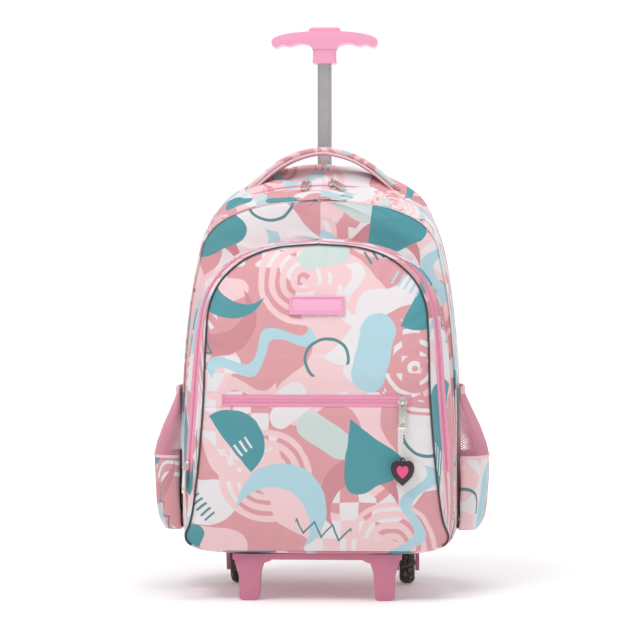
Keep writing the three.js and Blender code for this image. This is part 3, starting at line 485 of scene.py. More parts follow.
    def material(self) -> Material:
        """Builds the print, its weave and its slight sheen."""
        tree = Tree(self.name)
        flat = tree.map()
        cut = self.hand_cut(tree, flat)
        u, v, _ = tree.parts(cut)
        color = self.ground(tree, cut, u, v)
        brushed = tree.grain(tree.vector("MULTIPLY", flat, (60.0, 420.0, 1.0)), 1.0, 2.0)
        for motif in MOTIFS:
            x, y = self.spot(u, v, (motif.u, motif.v), motif.turn)
            mask = getattr(self, motif.form)(x, y, motif.radius).inside(self.edge)
            tint = motif.paint.rgba
            if motif.paint in (Paint.SKY, Paint.MIST):
                tint = tree.mix(brushed * 0.22, tint, Paint.OFF_WHITE.rgba)
            color = tree.mix(mask, color, tint)
        across, up, _ = tree.parts(flat)
        turns = 2 * math.pi / self.thread
        weave = (across * turns).sine() * (up * turns).sine()
        shade = tree.grain(tree.place(), 9.0, 2.0)
        color = tree.mix(shade * 0.12, color, Paint.DEEP_ROSE.rgba)
        height = weave * 0.5 + tree.grain(flat, 900.0, 1.0) * 0.6
        return tree.surface(
            Base_Color=color, Roughness=tree.grain(flat, 60.0) * 0.12 + 0.66,
            Normal=tree.bump(height, 0.12, 0.0002), Sheen_Weight=0.15, Sheen_Roughness=0.5)


class Motif(NamedTuple):
    """One motif of the print: its form, place in the repeat, turn, size and colour."""

    form: str
    u: float
    v: float
    turn: float
    radius: float
    paint: Paint


MOTIFS = (
    Motif("wave", 0.205, 0.255, 100, 0.050, Paint.OFF_WHITE),
    Motif("wave", 0.060, 0.172, 15, 0.050, Paint.BLUSH),
    Motif("wave", 0.285, 0.085, -40, 0.045, Paint.OFF_WHITE),
    Motif("crescent", 0.060, 0.258, 20, 0.040, Paint.DEEP_ROSE),
    Motif("crescent", 0.200, 0.072, 200, 0.042, Paint.DEEP_ROSE),
    Motif("pebble", 0.130, 0.168, 40, 0.020, Paint.OFF_WHITE),
    Motif("pebble", 0.172, 0.326, 12, 0.020, Paint.MIST),
    Motif("pebble", 0.165, 0.138, -35, 0.024, Paint.MIST),
    Motif("disc", 0.295, 0.330, 0, 0.016, Paint.MIST),
    Motif("wave", 0.105, 0.222, 28, 0.048, Paint.SKY),
    Motif("crescent", 0.118, 0.060, 150, 0.048, Paint.SKY),
    Motif("wave", 0.258, 0.050, 78, 0.046, Paint.SKY),
    Motif("pebble", 0.226, 0.222, 78, 0.030, Paint.SKY),
    Motif("disc", 0.020, 0.345, 0, 0.020, Paint.SKY),
    Motif("crescent", 0.072, 0.300, -60, 0.042, Paint.TEAL),
    Motif("half_disc", 0.272, 0.284, 62, 0.038, Paint.TEAL),
    Motif("sail", 0.212, 0.108, 24, 0.042, Paint.TEAL),
    Motif("half_disc", 0.062, 0.128, 128, 0.038, Paint.TEAL),
    Motif("pebble", 0.018, 0.018, 70, 0.018, Paint.TEAL),
    Motif("zigzag", 0.044, 0.206, 62, 0.028, Paint.LINE_TEAL),
    Motif("hoop", 0.176, 0.214, 200, 0.023, Paint.LINE_TEAL),
    Motif("dashes", 0.232, 0.330, 30, 0.026, Paint.LINE_TEAL),
    Motif("zigzag", 0.160, 0.030, -10, 0.030, Paint.LINE_TEAL),
    Motif("hoop", 0.274, 0.142, 40, 0.026, Paint.LINE_TEAL),
    Motif("dashes", 0.032, 0.062, -50, 0.024, Paint.LINE_TEAL),
    Motif("dashes", 0.072, 0.122, 38, 0.024, Paint.OFF_WHITE),
    Motif("dashes", 0.262, 0.296, -28, 0.026, Paint.SKY),
)


@dataclass(frozen=True)
class RibbedCloth:
    """Woven tape, webbing or binding with fine ribs across it."""

    name: str
    color: Paint
    dark: Paint
    pitch: float = 0.0011
    roughness: float = 0.72

    def material(self) -> Material:
        """Builds the ribs and a little unevenness."""
        tree = Tree(self.name)
        along, across, _ = tree.parts(tree.map())
        turns = 2 * math.pi / self.pitch
        rib = (along * turns).sine() * 0.5 + 0.5
        lay = (across * (turns * 1.7)).sine() * 0.5 + 0.5
        tone = tree.grain(tree.place(), 40.0)
        color = tree.mix(rib * 0.18 + tone * 0.14, self.color.rgba, self.dark.rgba)
        return tree.surface(
            Base_Color=color, Roughness=tone * 0.1 + self.roughness,
            Normal=tree.bump(rib + lay * 0.5, 0.35, 0.0002), Sheen_Weight=0.1)


@dataclass(frozen=True)
class PlainCloth:
    """Plain cloth: cord, padding, thread and the seams beside zip coils painted dark as shade, with weave in
    three directions.
    """

    name: str
    color: Paint
    dark: Paint
    weave: float = 1400.0
    relief: float = 0.3

    def material(self) -> Material:
        """Builds a fine weave and a soft change of tone."""
        tree = Tree(self.name)
        x, y, z = tree.parts(tree.place())
        weave = ((x + y * 0.3) * self.weave * 2).sine() * ((z + y * 0.4) * self.weave * 2).sine()
        tone = tree.grain(tree.place(), 30.0)
        color = tree.mix(weave * 0.1 + tone * 0.25, self.color.rgba, self.dark.rgba)
        return tree.surface(Base_Color=color, Roughness=tone * 0.15 + 0.72,
                            Normal=tree.bump(weave, self.relief, 0.0003), Sheen_Weight=0.12)


@dataclass(frozen=True)
class SpacerNet:
    """Thick knitted net: rows of diamond holes, painted darker inside as shade."""

    name: str
    color: Paint
    dark: Paint
    pitch: float = 0.0042

    def material(self) -> Material:
        """Builds the holes from the piece's own map."""
        tree = Tree(self.name)
        u, v, _ = tree.parts(tree.map())
        k = math.pi / self.pitch
        hole = abs(((u + v) * k).sine() * ((u - v) * k).sine())
        depth = (0.45 - hole).inside(0.16)
        # Painted shade: the holes' recesses take the dark colour.
        color = tree.mix(depth, self.color.rgba, self.dark.rgba)
        return tree.surface(Base_Color=color, Roughness=depth * 0.1 + 0.78,
                            Normal=tree.bump(1.0 - depth, 0.7, 0.0008), Sheen_Weight=0.15)


@dataclass(frozen=True)
class Metal:
    """Plated or drawn metal with fine scratches."""

    name: str
    color: str
    roughness: float = 0.22
    stretch: tuple[float, float, float] = (90.0, 90.0, 90.0)

    def material(self) -> Material:
        """Builds the scratches in the roughness and the normal."""
        tree = Tree(self.name)
        streak = tree.grain(tree.vector("MULTIPLY", tree.place(), self.stretch), 6.0, 3.0)
        tone = tree.grain(tree.place(), 70.0)
        color = tree.mix(tone * 0.25, paint(self.color), paint("8d8884"))
        return tree.surface(Base_Color=color, Metallic=1.0, Roughness=streak * 0.18 + self.roughness,
                            Normal=tree.bump(streak, 0.05, 0.0002))


@dataclass(frozen=True)
class Moulded:
    """Moulded plastic or rubber: faint grain, softly changing gloss."""

    name: str
    color: str
    dark: str
    roughness: float = 0.34
    grain: float = 1500.0
    relief: float = 0.06
    mottle: float = 0.12

    def material(self) -> Material:
        """Builds the grain and the slight mottling."""
        tree = Tree(self.name)
        tone = tree.grain(tree.place(), 24.0, 3.0)
        speck = tree.grain(tree.place(), self.grain, 1.0)
        color = tree.mix(tone * self.mottle, paint(self.color), paint(self.dark))
        return tree.surface(Base_Color=color, Roughness=tone * 0.14 + self.roughness,
                            Normal=tree.bump(speck, self.relief, 0.0002), Coat_Weight=0.12,
                            Coat_Roughness=0.25)


@dataclass(frozen=True)
class TyreRubber:
    """Dark tyre with worn brown and grey specks."""

    name: str = "tyre_rubber"

    def material(self) -> Material:
        """Builds the specks by two sizes of noise."""
        tree = Tree(self.name)
        coarse = tree.grain(tree.place(), 190.0, 4.0, 0.7)
        speck = (0.55 - coarse).inside(0.06)
        color = tree.mix(speck, paint("2b2825"), paint("6b6258"))
        return tree.surface(Base_Color=color, Roughness=coarse * 0.3 + 0.45,
                            Normal=tree.bump(coarse, 0.3, 0.0006))


class Finishes:
    """All finishes of the bag, each made once and fetched by its slot."""

    def __init__(self) -> None:
        """Builds the materials."""
        made = (
            PrintedCloth(),
            PlainCloth("piping_cord", Paint.CORD, Paint.LINE_TEAL, 1900.0),
            RibbedCloth("zip_tape", Paint.TAPE, Paint.TAPE_DARK),
            Moulded("zip_coil", "f9b2cd", "f09dbd", 0.42),
            # Seams beside the zip coils: raised lines painted dark as shade where the coil meets the tape.
            PlainCloth("zip_line", Paint.TAPE_DARK, Paint.SHADE),
            Metal("nickel", "f4ede8", 0.2),
            Moulded("label_plastic", "f5b0cf", "ee9cc2", 0.42, 900.0, 0.12),
            PlainCloth("label_stitch", Paint.LABEL, Paint.TAPE_DARK),
            PlainCloth("net", Paint.NET, Paint.TAPE_DARK, 2400.0),
            # Both spacer nets have their holes painted darker as shade.
            SpacerNet("spacer_net", Paint.BLUSH, Paint.SHADE, 0.0036),
            SpacerNet("pad_cloth", Paint.PAD, Paint.DEEP_ROSE, 0.0046),
            RibbedCloth("binding", Paint.BLUSH, Paint.TAPE, 0.0009),
            RibbedCloth("webbing", Paint.NET, Paint.TAPE_DARK, 0.0016),
            Moulded("grip_plastic", "f6a9c8", "ee93b8", 0.3),
            Moulded("chassis_plastic", "cf7d97", "ba6581", 0.33),
            Metal("pole_metal", "d6d3d7", 0.36, (260.0, 260.0, 6.0)),
            TyreRubber(),
            Moulded("hub_plastic", "6e6a6c", "4c494b", 0.45),
            Moulded("adjuster_plastic", "dd8aa8", "c97292", 0.38),
            Moulded("charm_dark", "352528", "5a4246", 0.42),
            Moulded("charm_pink", "f0508c", "d83c78", 0.3),
        )
        self.by_slot = {finish.name: finish.material() for finish in made}

    def __getitem__(self, slot: str) -> Material:
        """Material of a slot or of a trim finish."""
        return self.by_slot[slot]


# Mesh kit


class Kit:
    """Makes, finishes and places pieces, and reports each one."""

    def __init__(self, finishes: Finishes) -> None:
        """Keeps the finishes."""
        self.finishes = finishes

    def keep(self, name: str, shape: Shape, finish: str, body: Body = Body.BAG,
             slot: str = "", nodes: Sequence[str] = ()) -> Piece:
        """Turns a bmesh into a finished piece of the bag.

        Args:
            name: The piece's name.
            shape: Its mesh, which is freed.
            finish: Key of its material.
            body: Body that it rides on.
            slot: Slot of the record, where it isn't the finish's own name; not used.
            nodes: Nodes of the frame that it stands for.

        Returns:
            The new object.
        """
        for face in shape.faces:
            face.smooth = True
        mesh = bpy.data.meshes.new(name)
        shape.to_mesh(mesh)
        shape.free()
        mesh.materials.append(self.finishes[finish])
        piece = bpy.data.objects.new(name, mesh)
        bpy.context.scene.collection.objects.link(piece)
        slot or finish
        if nodes:
            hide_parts(*nodes)
        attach(piece, body.value)
        LOG.info("%s: %d faces on %s", piece.name, len(piece.data.polygons), body.value)
        return piece

    @staticmethod
    def sheet(columns: Sequence[float], rows: Sequence[float],
              place: Callable[[float, float], Vector],
              printed: Callable[[float, float], Pair] | None = None,
              weld: float = 1e-6) -> Shape:
        """Curved sheet made from a grid whose corners are moved into place.

        Args:
            columns: Parameter of each column.
            rows: Parameter of each row.
            place: Point of the sheet at a column and a row.
            printed: Place on the flat map, in metres; by default the parameters themselves.
            weld: Distance under which corners are merged.

        Returns:
            The sheet as a bmesh, its faces turned the same way.
        """
        shape = bmesh.new()
        across, up = len(columns) - 1, len(rows) - 1
        layer = shape.loops.layers.uv.new(PRINT_MAP)
        bmesh.ops.create_grid(shape, x_segments=across, y_segments=up, size=1.0)
        spots = {}
        for corner in shape.verts:
            u = columns[round((corner.co.x + 1) / 2 * across)]
            v = rows[round((corner.co.y + 1) / 2 * up)]
            spots[corner] = (u, v)
        for face in shape.faces:
            for loop in face.loops:
                spot = spots[loop.vert]
                loop[layer].uv = printed(*spot) if printed else spot
        for corner, spot in spots.items():
            corner.co = place(*spot)
        bmesh.ops.remove_doubles(shape, verts=shape.verts, dist=weld)
        bmesh.ops.dissolve_degenerate(shape, dist=weld, edges=shape.edges)
        return shape

    def cloth(self, name: str, shape: Shape, middle: Vector, wall: float,
              finish: str = "printed_cloth", nodes: Sequence[str] = ()) -> Piece:
        """Turns an open sheet into a piece of cloth with its thickness inwards.

        Args:
            name: The piece's name.
            shape: The sheet, which is freed.
            middle: Point inside the bag that its outer face looks away from.
            wall: Its thickness.
            finish: Key of its material.
            nodes: Nodes of the frame that it stands for.

        Returns:
            The new object.
        """
        shape.normal_update()
        out = sum(f.normal.dot(f.calc_center_median() - middle) * f.calc_area() for f in shape.faces)
        if out < 0:
            bmesh.ops.reverse_faces(shape, faces=shape.faces)
        piece = self.keep(name, shape, finish, nodes=nodes)
        solid = piece.modifiers.new("wall", "SOLIDIFY")
        solid.thickness = wall
        solid.offset = -1.0
        solid.use_rim = True
        return piece

    def strip(self, name: str, path: Sequence[Vector], side: Vector | Callable[[int], Vector],
              section: Sequence[Pair], finish: str, body: Body = Body.BAG, slot: str = "",
              nodes: Sequence[str] = (), widths: Sequence[float] | None = None) -> Piece:
        """Piece with a closed section carried along a path, which is a ring where it ends at its start.

        Args:
            name: The piece's name.
            path: Points of the path.
            side: Rough direction across, the same everywhere or by the number of the point.
            section: Closed outline as places across and out, without its first point again.
            finish: Key of its material.
            body: Body that it rides on.
            slot: Slot of the record, where it isn't the finish's own name.
            nodes: Nodes of the frame that it stands for.
            widths: Factor on the section across, at each point of the path.

        Returns:
            The new object.
        """
        rows = []
        for i, point in enumerate(path):
            along = (path[min(i + 1, len(path) - 1)] - path[max(i - 1, 0)]).normalized()
            across = side(i) if callable(side) else side
            across = (across - along * across.dot(along)).normalized()
            rows.append((point, across, across.cross(along)))
        ring = [*section, section[0]]
        run = Route(path).run
        girth = Route([Vector(corner) for corner in ring]).run

        def place(i: float, j: float) -> Vector:
            """Corner of the section.

            Args:
                i: Number of the corner.
                j: Number of the path's point.

            Returns:
                The corner.
            """
            point, across, out = rows[int(j)]
            a, b = ring[int(i)]
            factor = widths[int(j)] if widths else 1.0
            return point + across * (a * factor) + out * b

        shape = self.sheet(range(len(ring)), range(len(path)), place,
                           lambda i, j: (run[int(j)], girth[int(i)]))
        if path[0] != path[-1]:
            bmesh.ops.holes_fill(shape, edges=[e for e in shape.edges if e.is_boundary])
        bmesh.ops.recalc_face_normals(shape, faces=shape.faces)
        return self.keep(name, shape, finish, body, slot, nodes)

    @staticmethod
    def rounded(shape: Shape, edges: Sequence[bmesh.types.BMEdge], radius: float, segments: int) -> None:
        """Rounds edges of a mesh.

        Args:
            shape: The mesh.
            edges: Its edges to round.
            radius: Radius of the rounding.
            segments: Steps in the rounding.
        """
        bmesh.ops.bevel(shape, geom=edges, offset=radius, segments=segments, profile=0.5,
                        affect="EDGES", material=-1, clamp_overlap=True)

    @staticmethod
    def plate(outline: Sequence[Pair], back: float, front: float, rounding: float,
              segments: int = 3) -> Shape:
        """Upright plate with rounded rims.

        Args:
            outline: Closed outline as places across and up.
            back: Depth of its rear face.
            front: Depth of its front face, which is less.
            rounding: Radius of its rims.
            segments: Steps in the rounding.

        Returns:
            The plate.
        """
        shape = bmesh.new()
        made = bmesh.ops.create_circle(shape, cap_ends=True, segments=len(outline), radius=1.0)
        for corner, (x, z) in zip(made["verts"], outline):
            corner.co = Vector((x, back, z))
        grown = bmesh.ops.extrude_face_region(shape, geom=shape.faces[:])
        fresh = [g for g in grown["geom"] if isinstance(g, bmesh.types.BMVert)]
        bmesh.ops.translate(shape, vec=(0, front - back, 0), verts=fresh)
        bmesh.ops.recalc_face_normals(shape, faces=shape.faces)
        rims = [e for e in shape.edges if abs(e.verts[0].co.y - e.verts[1].co.y) < 1e-7]
        Kit.rounded(shape, rims, rounding, segments)
        return shape

    def refined(self, node: str, finish: str, rounding: float, body: Body = Body.BAG, segments: int = 2,
                sharp: float = 32.0) -> Piece:
        """Rounded copy of a hard node of the frame, which it replaces.

        Args:
            node: The node's name.
            finish: Key of its material.
            rounding: Radius of its edges.
            body: Body that it rides on.
            segments: Steps in the rounding.
            sharp: Angle in degrees above which an edge is rounded.

        Returns:
            The new piece.
        """
        shape = bmesh.new()
        shape.from_mesh(frame["nodes"][node].data)
        bmesh.ops.remove_doubles(shape, verts=shape.verts, dist=1e-6)
        bmesh.ops.dissolve_limit(shape, angle_limit=math.radians(0.5), verts=shape.verts, edges=shape.edges)
        edges = [e for e in shape.edges if e.is_manifold and e.calc_face_angle(0.0) > math.radians(sharp)]
        self.rounded(shape, edges, rounding, segments)
        bmesh.ops.triangulate(shape, faces=[f for f in shape.faces if len(f.verts) > 4])
        piece = self.keep(f"{node}_finished", shape, finish, body, nodes=[node])
        piece.data.set_sharp_from_angle(angle=math.radians(38))
        return piece

    @staticmethod
    def printed_flat(piece: Piece, flat: Callable[[Vector], Pair]) -> None:
        """Writes a piece's flat map from its corners' places.

        Args:
            piece: The piece.
            flat: Place on the map for a corner's place.
        """
        mesh = piece.data
        layer = mesh.uv_layers.get(PRINT_MAP) or mesh.uv_layers.new(name=PRINT_MAP)
        for loop in mesh.loops:
            layer.data[loop.index].uv = flat(mesh.vertices[loop.vertex_index].co)

    @staticmethod
    def puffed(piece: Piece, voxel: float, pressure: float, cap: float,
               frames: int = 20) -> Piece:
        """Swells a padded piece by a cloth simulation, then keeps the result as its mesh.

        Args:
            piece: A closed piece, which rests at its own place.
            voxel: Size of the remesh.
            pressure: Air pressure inside.
            cap: Farthest that a point may move.
            frames: Steps of the simulation.

        Returns:
            The same piece.
        """
        scene = bpy.context.scene
        remesh = piece.modifiers.new("remesh", "REMESH")
        remesh.mode = "VOXEL"
        remesh.voxel_size = voxel
        Kit.apply(piece)
        rest = [v.co.copy() for v in piece.data.vertices]
        cloth = piece.modifiers.new("cloth", "CLOTH")
        cloth.settings.use_pressure = True
        cloth.settings.uniform_pressure_force = pressure
        cloth.settings.effector_weights.gravity = 0.0
        cloth.settings.quality = 4
        cloth.point_cache.frame_end = frames
        for step in range(1, frames + 1):
            scene.frame_set(step)
        Kit.apply(piece)
        scene.frame_set(1)
        for vertex, start in zip(piece.data.vertices, rest):
            move = vertex.co - start
            if move.length > cap:
                vertex.co = start + move.normalized() * cap
        smoother = piece.modifiers.new("smooth", "SUBSURF")
        smoother.levels = 1
        smoother.render_levels = 1
        Kit.apply(piece)
        for face in piece.data.polygons:
            face.use_smooth = True
        return piece

    @staticmethod
    def apply(piece: Piece) -> None:
        """Makes a piece's modifiers part of its mesh.

        Args:
            piece: The piece.
        """
        graph = bpy.context.evaluated_depsgraph_get()
        fresh = bpy.data.meshes.new_from_object(piece.evaluated_get(graph))
        piece.modifiers.clear()
        old = piece.data
        piece.data = fresh
        bpy.data.meshes.remove(old)

    @staticmethod
    def round_section(radius: float, sides: int = 8) -> list[Pair]:
        """Round outline for a sweep."""
        turns = [2 * math.pi * i / sides for i in range(sides)]
        return [(radius * math.cos(t), radius * math.sin(t)) for t in turns]

    @staticmethod
    def pillow_section(half: float, rise: float, power: Pair,
                       sides: int) -> list[Pair]:
        """Outline of a filled pad for a sweep, between a round and a rectangle.

        Args:
            half: Half its width.
            rise: Half its thickness.
            power: Roundness of its sides and of its faces, 1 being an ellipse.
            sides: Corners of the outline.

        Returns:
            The outline.
        """
        turns = [2 * math.pi * i / sides for i in range(sides)]
        return [(half * math.copysign(abs(math.cos(t)) ** power[0], math.cos(t)),
                 rise * math.copysign(abs(math.sin(t)) ** power[1], math.sin(t))) for t in turns]

    @staticmethod
    def flat_section(width: float, thickness: float, rounding: float) -> list[Pair]:
        """Flat outline with softened edges for a sweep.

        Args:
            width: Its width.
            thickness: Its thickness.
            rounding: Radius of its edges as a share of half its thickness.

        Returns:
            The outline.
        """
        w, t = width / 2, thickness / 2
        r = rounding * t
        half = [(w - r, -t), (w, -t + r), (w, t - r), (w - r, t)]
        steps = max(1, round(width / 0.004))
        top = [(lerp(w - r, -w + r, i / steps), t) for i in range(1, steps)]
        other = [(-x, -y) for x, y in half]
        under = [(-x, -y) for x, y in top]
        return [*half, *top, *other, *under]

    @staticmethod
    def copies(unit: Callable[[Shape], None], places: Sequence[Matrix]) -> Shape:
        """Joins copies of a small unit.

        Args:
            unit: Adds one unit at the origin.
            places: Where each copy goes.

        Returns:
            All copies in one bmesh.
        """
        seed = bmesh.new()
        unit(seed)
        mesh = bpy.data.meshes.new("unit")
        seed.to_mesh(mesh)
        seed.free()
        shape = bmesh.new()
        shape.from_mesh(mesh)
        bpy.data.meshes.remove(mesh)
        counts = [len(shape.verts), len(shape.edges), len(shape.faces)]
        have = 1
        while have < len(places):
            fresh = min(have, len(places) - have)
            parts = zip((shape.verts, shape.edges, shape.faces), counts)
            bmesh.ops.duplicate(shape, geom=[g for kind, count in parts for g in kind[:][:fresh * count]])
            have += fresh
        for i, corner in enumerate(shape.verts):
            corner.co = places[i // counts[0]] @ corner.co
        return shape

    @staticmethod
    def capsule(shape: Shape, length: float, width: float, rise: float) -> None:
        """Adds a small softened bar along X.

        Args:
            shape: The mesh that it joins.
            length: Along X.
            width: Along Y.
            rise: Along Z.
        """
        made = bmesh.ops.create_cube(shape, size=1.0)
        bmesh.ops.scale(shape, vec=(length, width, rise), verts=made["verts"])
        edges = [e for e in shape.edges if e.verts[0] in made["verts"]]
        bmesh.ops.bevel(shape, geom=edges, offset=0.3 * min(width, rise), segments=1, profile=0.5,
                        affect="EDGES", material=-1)

    @staticmethod
    def curve(points: Sequence[Vector], steps: int) -> list[Vector]:
        """Smooth line through points, with so many steps between two of them.

        Args:
            points: The points.
            steps: The steps.

        Returns:
            Points of the line, ends included.
        """
        chain = [points[0] * 2 - points[1], *points, points[-1] * 2 - points[-2]]
        line = [Outline.bend(chain[i - 1:i + 3], k / steps)
                for i in range(1, len(chain) - 2) for k in range(steps)]
        return [*line, points[-1]]

    def stitches(self, name: str, path: Sequence[Vector], out: Vector, finish: str, slot: str,
                 pitch: float) -> Piece:
        """Row of sewn stitches along a path.

        Args:
            name: The piece's name.
            path: Points that the seam runs through.
            out: Direction out of the piece that they lie on.
            finish: Key of the thread's material.
            slot: Slot of the record.
            pitch: Distance from stitch to stitch.

        Returns:
            The joined stitches.
        """
        places = []
        for point, along in Route(path).stations(pitch):
            across = out.cross(along).normalized()
            basis = Matrix((along, across, along.cross(across))).transposed().to_4x4()
            places.append(Matrix.Translation(point) @ basis)
        shape = self.copies(lambda b: self.capsule(b, 0.72 * pitch, 0.0006, 0.0005), places)
        return self.keep(name, shape, finish, slot=slot)


class Route:
    """A line through points that can be walked by distance."""

    def __init__(self, points: Sequence[Vector]) -> None:
        """Measures the line.

        Args:
            points: Points that it runs through.
        """
        self.points = list(points)
        self.run = [0.0]
        for a, b in zip(self.points, self.points[1:]):
            self.run.append(self.run[-1] + (b - a).length)

    @property
    def length(self) -> float:
        """Whole length."""
        return self.run[-1]

    def at(self, distance: float) -> tuple[Vector, Vector]:
        """Point and direction at a distance along the line.

        Args:
            distance: The distance.

        Returns:
            The point and the direction.
        """
        distance = clamp(distance, 0.0, self.length)
        i = 0
        while i + 2 < len(self.run) and self.run[i + 1] < distance:
            i += 1
        a, b = self.points[i], self.points[i + 1]
        step = b - a
        return a + step * ((distance - self.run[i]) / max(step.length, 1e-9)), step.normalized()

    def stations(self, pitch: float) -> list[tuple[Vector, Vector]]:
        """Evenly spaced points with their directions."""
        count = max(1, round(self.length / pitch))
        return [self.at((i + 0.5) * self.length / count) for i in range(count)]


# The bag's form


class Corner(NamedTuple):
    """Point of an outline as shares of its height and half width."""

    height: float
    width: float


class Section(NamedTuple):
    """Section of a compartment: share of its depth, and shares of the bag's width and height."""

    depth: float
    width: float
    bottom: float
    top: float
    blend: float


class Outline:
    """Centripetal curve through an outline's corners, from the bottom middle to the top middle."""

    def __init__(self, corners: Sequence[Corner], half: float, height: float) -> None:
        """Samples the curve at a real size, so that its bends are the bag's own.

        Args:
            corners: Corners from the bottom middle to the top middle.
            half: Real half width.
            height: Real height.
        """
        points = [Vector((c.width * half, c.height * height)) for c in corners]
        line = Kit.curve(points, 24)[:-1]
        self.samples = [*(Corner(clamp(z / height), max(x, 0.0) / half) for x, z in line), Corner(1.0, 0.0)]

    @staticmethod
    def bend(four: Sequence[Vector], t: float) -> Vector:
        """Point between the middle two of four points.

        Args:
            four: The points.
            t: Share of the way from the second to the third.

        Returns:
            The point.
        """
        gaps = [max((b - a).length ** 0.5, 1e-4) for a, b in zip(four, four[1:])]
        x0, x1, x2, x3 = four
        d0, d1, d2 = gaps
        start = ((x1 - x0) / d0 - (x2 - x0) / (d0 + d1) + (x2 - x1) / d1) * d1
        stop = ((x2 - x1) / d1 - (x3 - x1) / (d1 + d2) + (x3 - x2) / d2) * d1
        return (x1 * (2 * t ** 3 - 3 * t ** 2 + 1) + start * (t ** 3 - 2 * t ** 2 + t)
                + x2 * (3 * t ** 2 - 2 * t ** 3) + stop * (t ** 3 - t ** 2))

    def at(self, t: float) -> Corner:
        """Shares of height and half width at parameter t.

        Args:
            t: Parameter, 0 at the bottom middle.

        Returns:
            The shares.
        """
        place = clamp(t) * (len(self.samples) - 1)
        i = min(int(place), len(self.samples) - 2)
        a, b = self.samples[i], self.samples[i + 1]
        return Corner(lerp(a.height, b.height, place - i), lerp(a.width, b.width, place - i))


def corners(*shares: Pair) -> tuple[Corner, ...]:
    """Corners of an outline from pairs of shares."""
    return tuple(Corner(*pair) for pair in shares)


FLAT_BASE = ((0, 0), (0, 0.72), (0.004, 0.88), (0.018, 0.955), (0.05, 0.992), (0.13, 1))
BODY_OUTLINE = corners(
    *FLAT_BASE, (0.43, 1), (0.64, 0.951), (0.77, 0.897), (0.85, 0.822), (0.903, 0.735), (0.944, 0.6),
    (0.968, 0.47), (0.99, 0.3), (1, 0))
SEAM_OUTLINE = corners(
    *FLAT_BASE, (0.48, 1), (0.715, 0.95), (0.82, 0.9), (0.885, 0.859), (0.935, 0.758), (0.969, 0.597),
    (0.984, 0.47), (0.995, 0.28), (1, 0))
JUNCTION_OUTLINE = corners(
    (0, 0), (0, 0.7), (0.006, 0.87), (0.025, 0.95), (0.08, 0.99), (0.2, 1), (0.42, 1), (0.55, 0.983),
    (0.71, 0.936), (0.8, 0.888), (0.87, 0.807), (0.915, 0.719), (0.953, 0.583), (0.982, 0.373), (1, 0))
PIPED_OUTLINE = corners(
    (0, 0), (0, 0.7), (0.012, 0.88), (0.03, 0.975), (0.05, 0.995), (0.1, 0.955), (0.25, 0.905),
    (0.5, 0.857), (0.7, 0.844), (0.8, 0.825), (0.87, 0.757), (0.92, 0.655), (0.96, 0.52), (0.988, 0.32),
    (1, 0))
MAIN_SECTIONS = (
    Section(0, 0.955, 0.006, 0.985, 0), Section(0.06, 0.988, 0, 0.998, 0), Section(0.17, 1, 0, 1, 0),
    Section(0.47, 1, 0, 0.957, 0.45), Section(0.8, 0.985, 0, 0.918, 0.8),
    Section(1, 0.961, 0.003, 0.892, 1),
)
FRONT_SECTIONS = (
    Section(0, 0.95, 0.003, 0.793, 0), Section(0.35, 0.947, 0, 0.792, 0.1),
    Section(0.53, 0.943, 0, 0.79, 0.31), Section(0.7, 0.934, 0, 0.788, 0.7),
    Section(0.82, 0.925, 0, 0.785, 0.84), Section(1, 0.91, 0.006, 0.777, 1),
)


@dataclass(frozen=True)
class BagForm:
    """Sizes that all cloth panels of the bag share."""

    half_width: float = 0.155
    height: float = 0.428
    bottom: float = 0.0503
    back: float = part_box("main_compartment")[1].y
    main_depth: float = 0.138
    main_lean: float = 0.023
    front_depth: float = 0.200
    front_lean: float = 0.040
    lean_start: float = 0.44
    bulge: float = 0.007
    main_zip_y: float = 0.067
    main_zip_half: float = 0.0035
    main_zip_end: float = 0.300
    front_zip_near: float = 0.53
    front_zip_far: float = 0.6998
    front_zip_end: float = 0.136
    pocket_zip_z: float = 0.215
    pocket_zip_half: float = 0.1015
    pocket_zip_width: float = 0.0135

    def share(self, z: float) -> float:
        """Share of the bag's height at a height above the floor."""
        return clamp((z - self.bottom) / self.height, 0.0, 1.1)

    def main_front(self, z: float) -> float:
        """Depth of the main compartment's front at a height."""
        return self.back - self.main_depth + self.main_lean * (self.share(z) / MAIN_SECTIONS[-1].top) ** 3

    def front_edge(self, z: float) -> float:
        """Depth of the front panel's edge at a height.

        Args:
            z: The height.

        Returns:
            The depth.
        """
        top = FRONT_SECTIONS[-1].top
        rise = max(0.0, self.share(z) - self.lean_start) / (top - self.lean_start)
        return self.back - self.front_depth + self.front_lean * rise ** 1.2


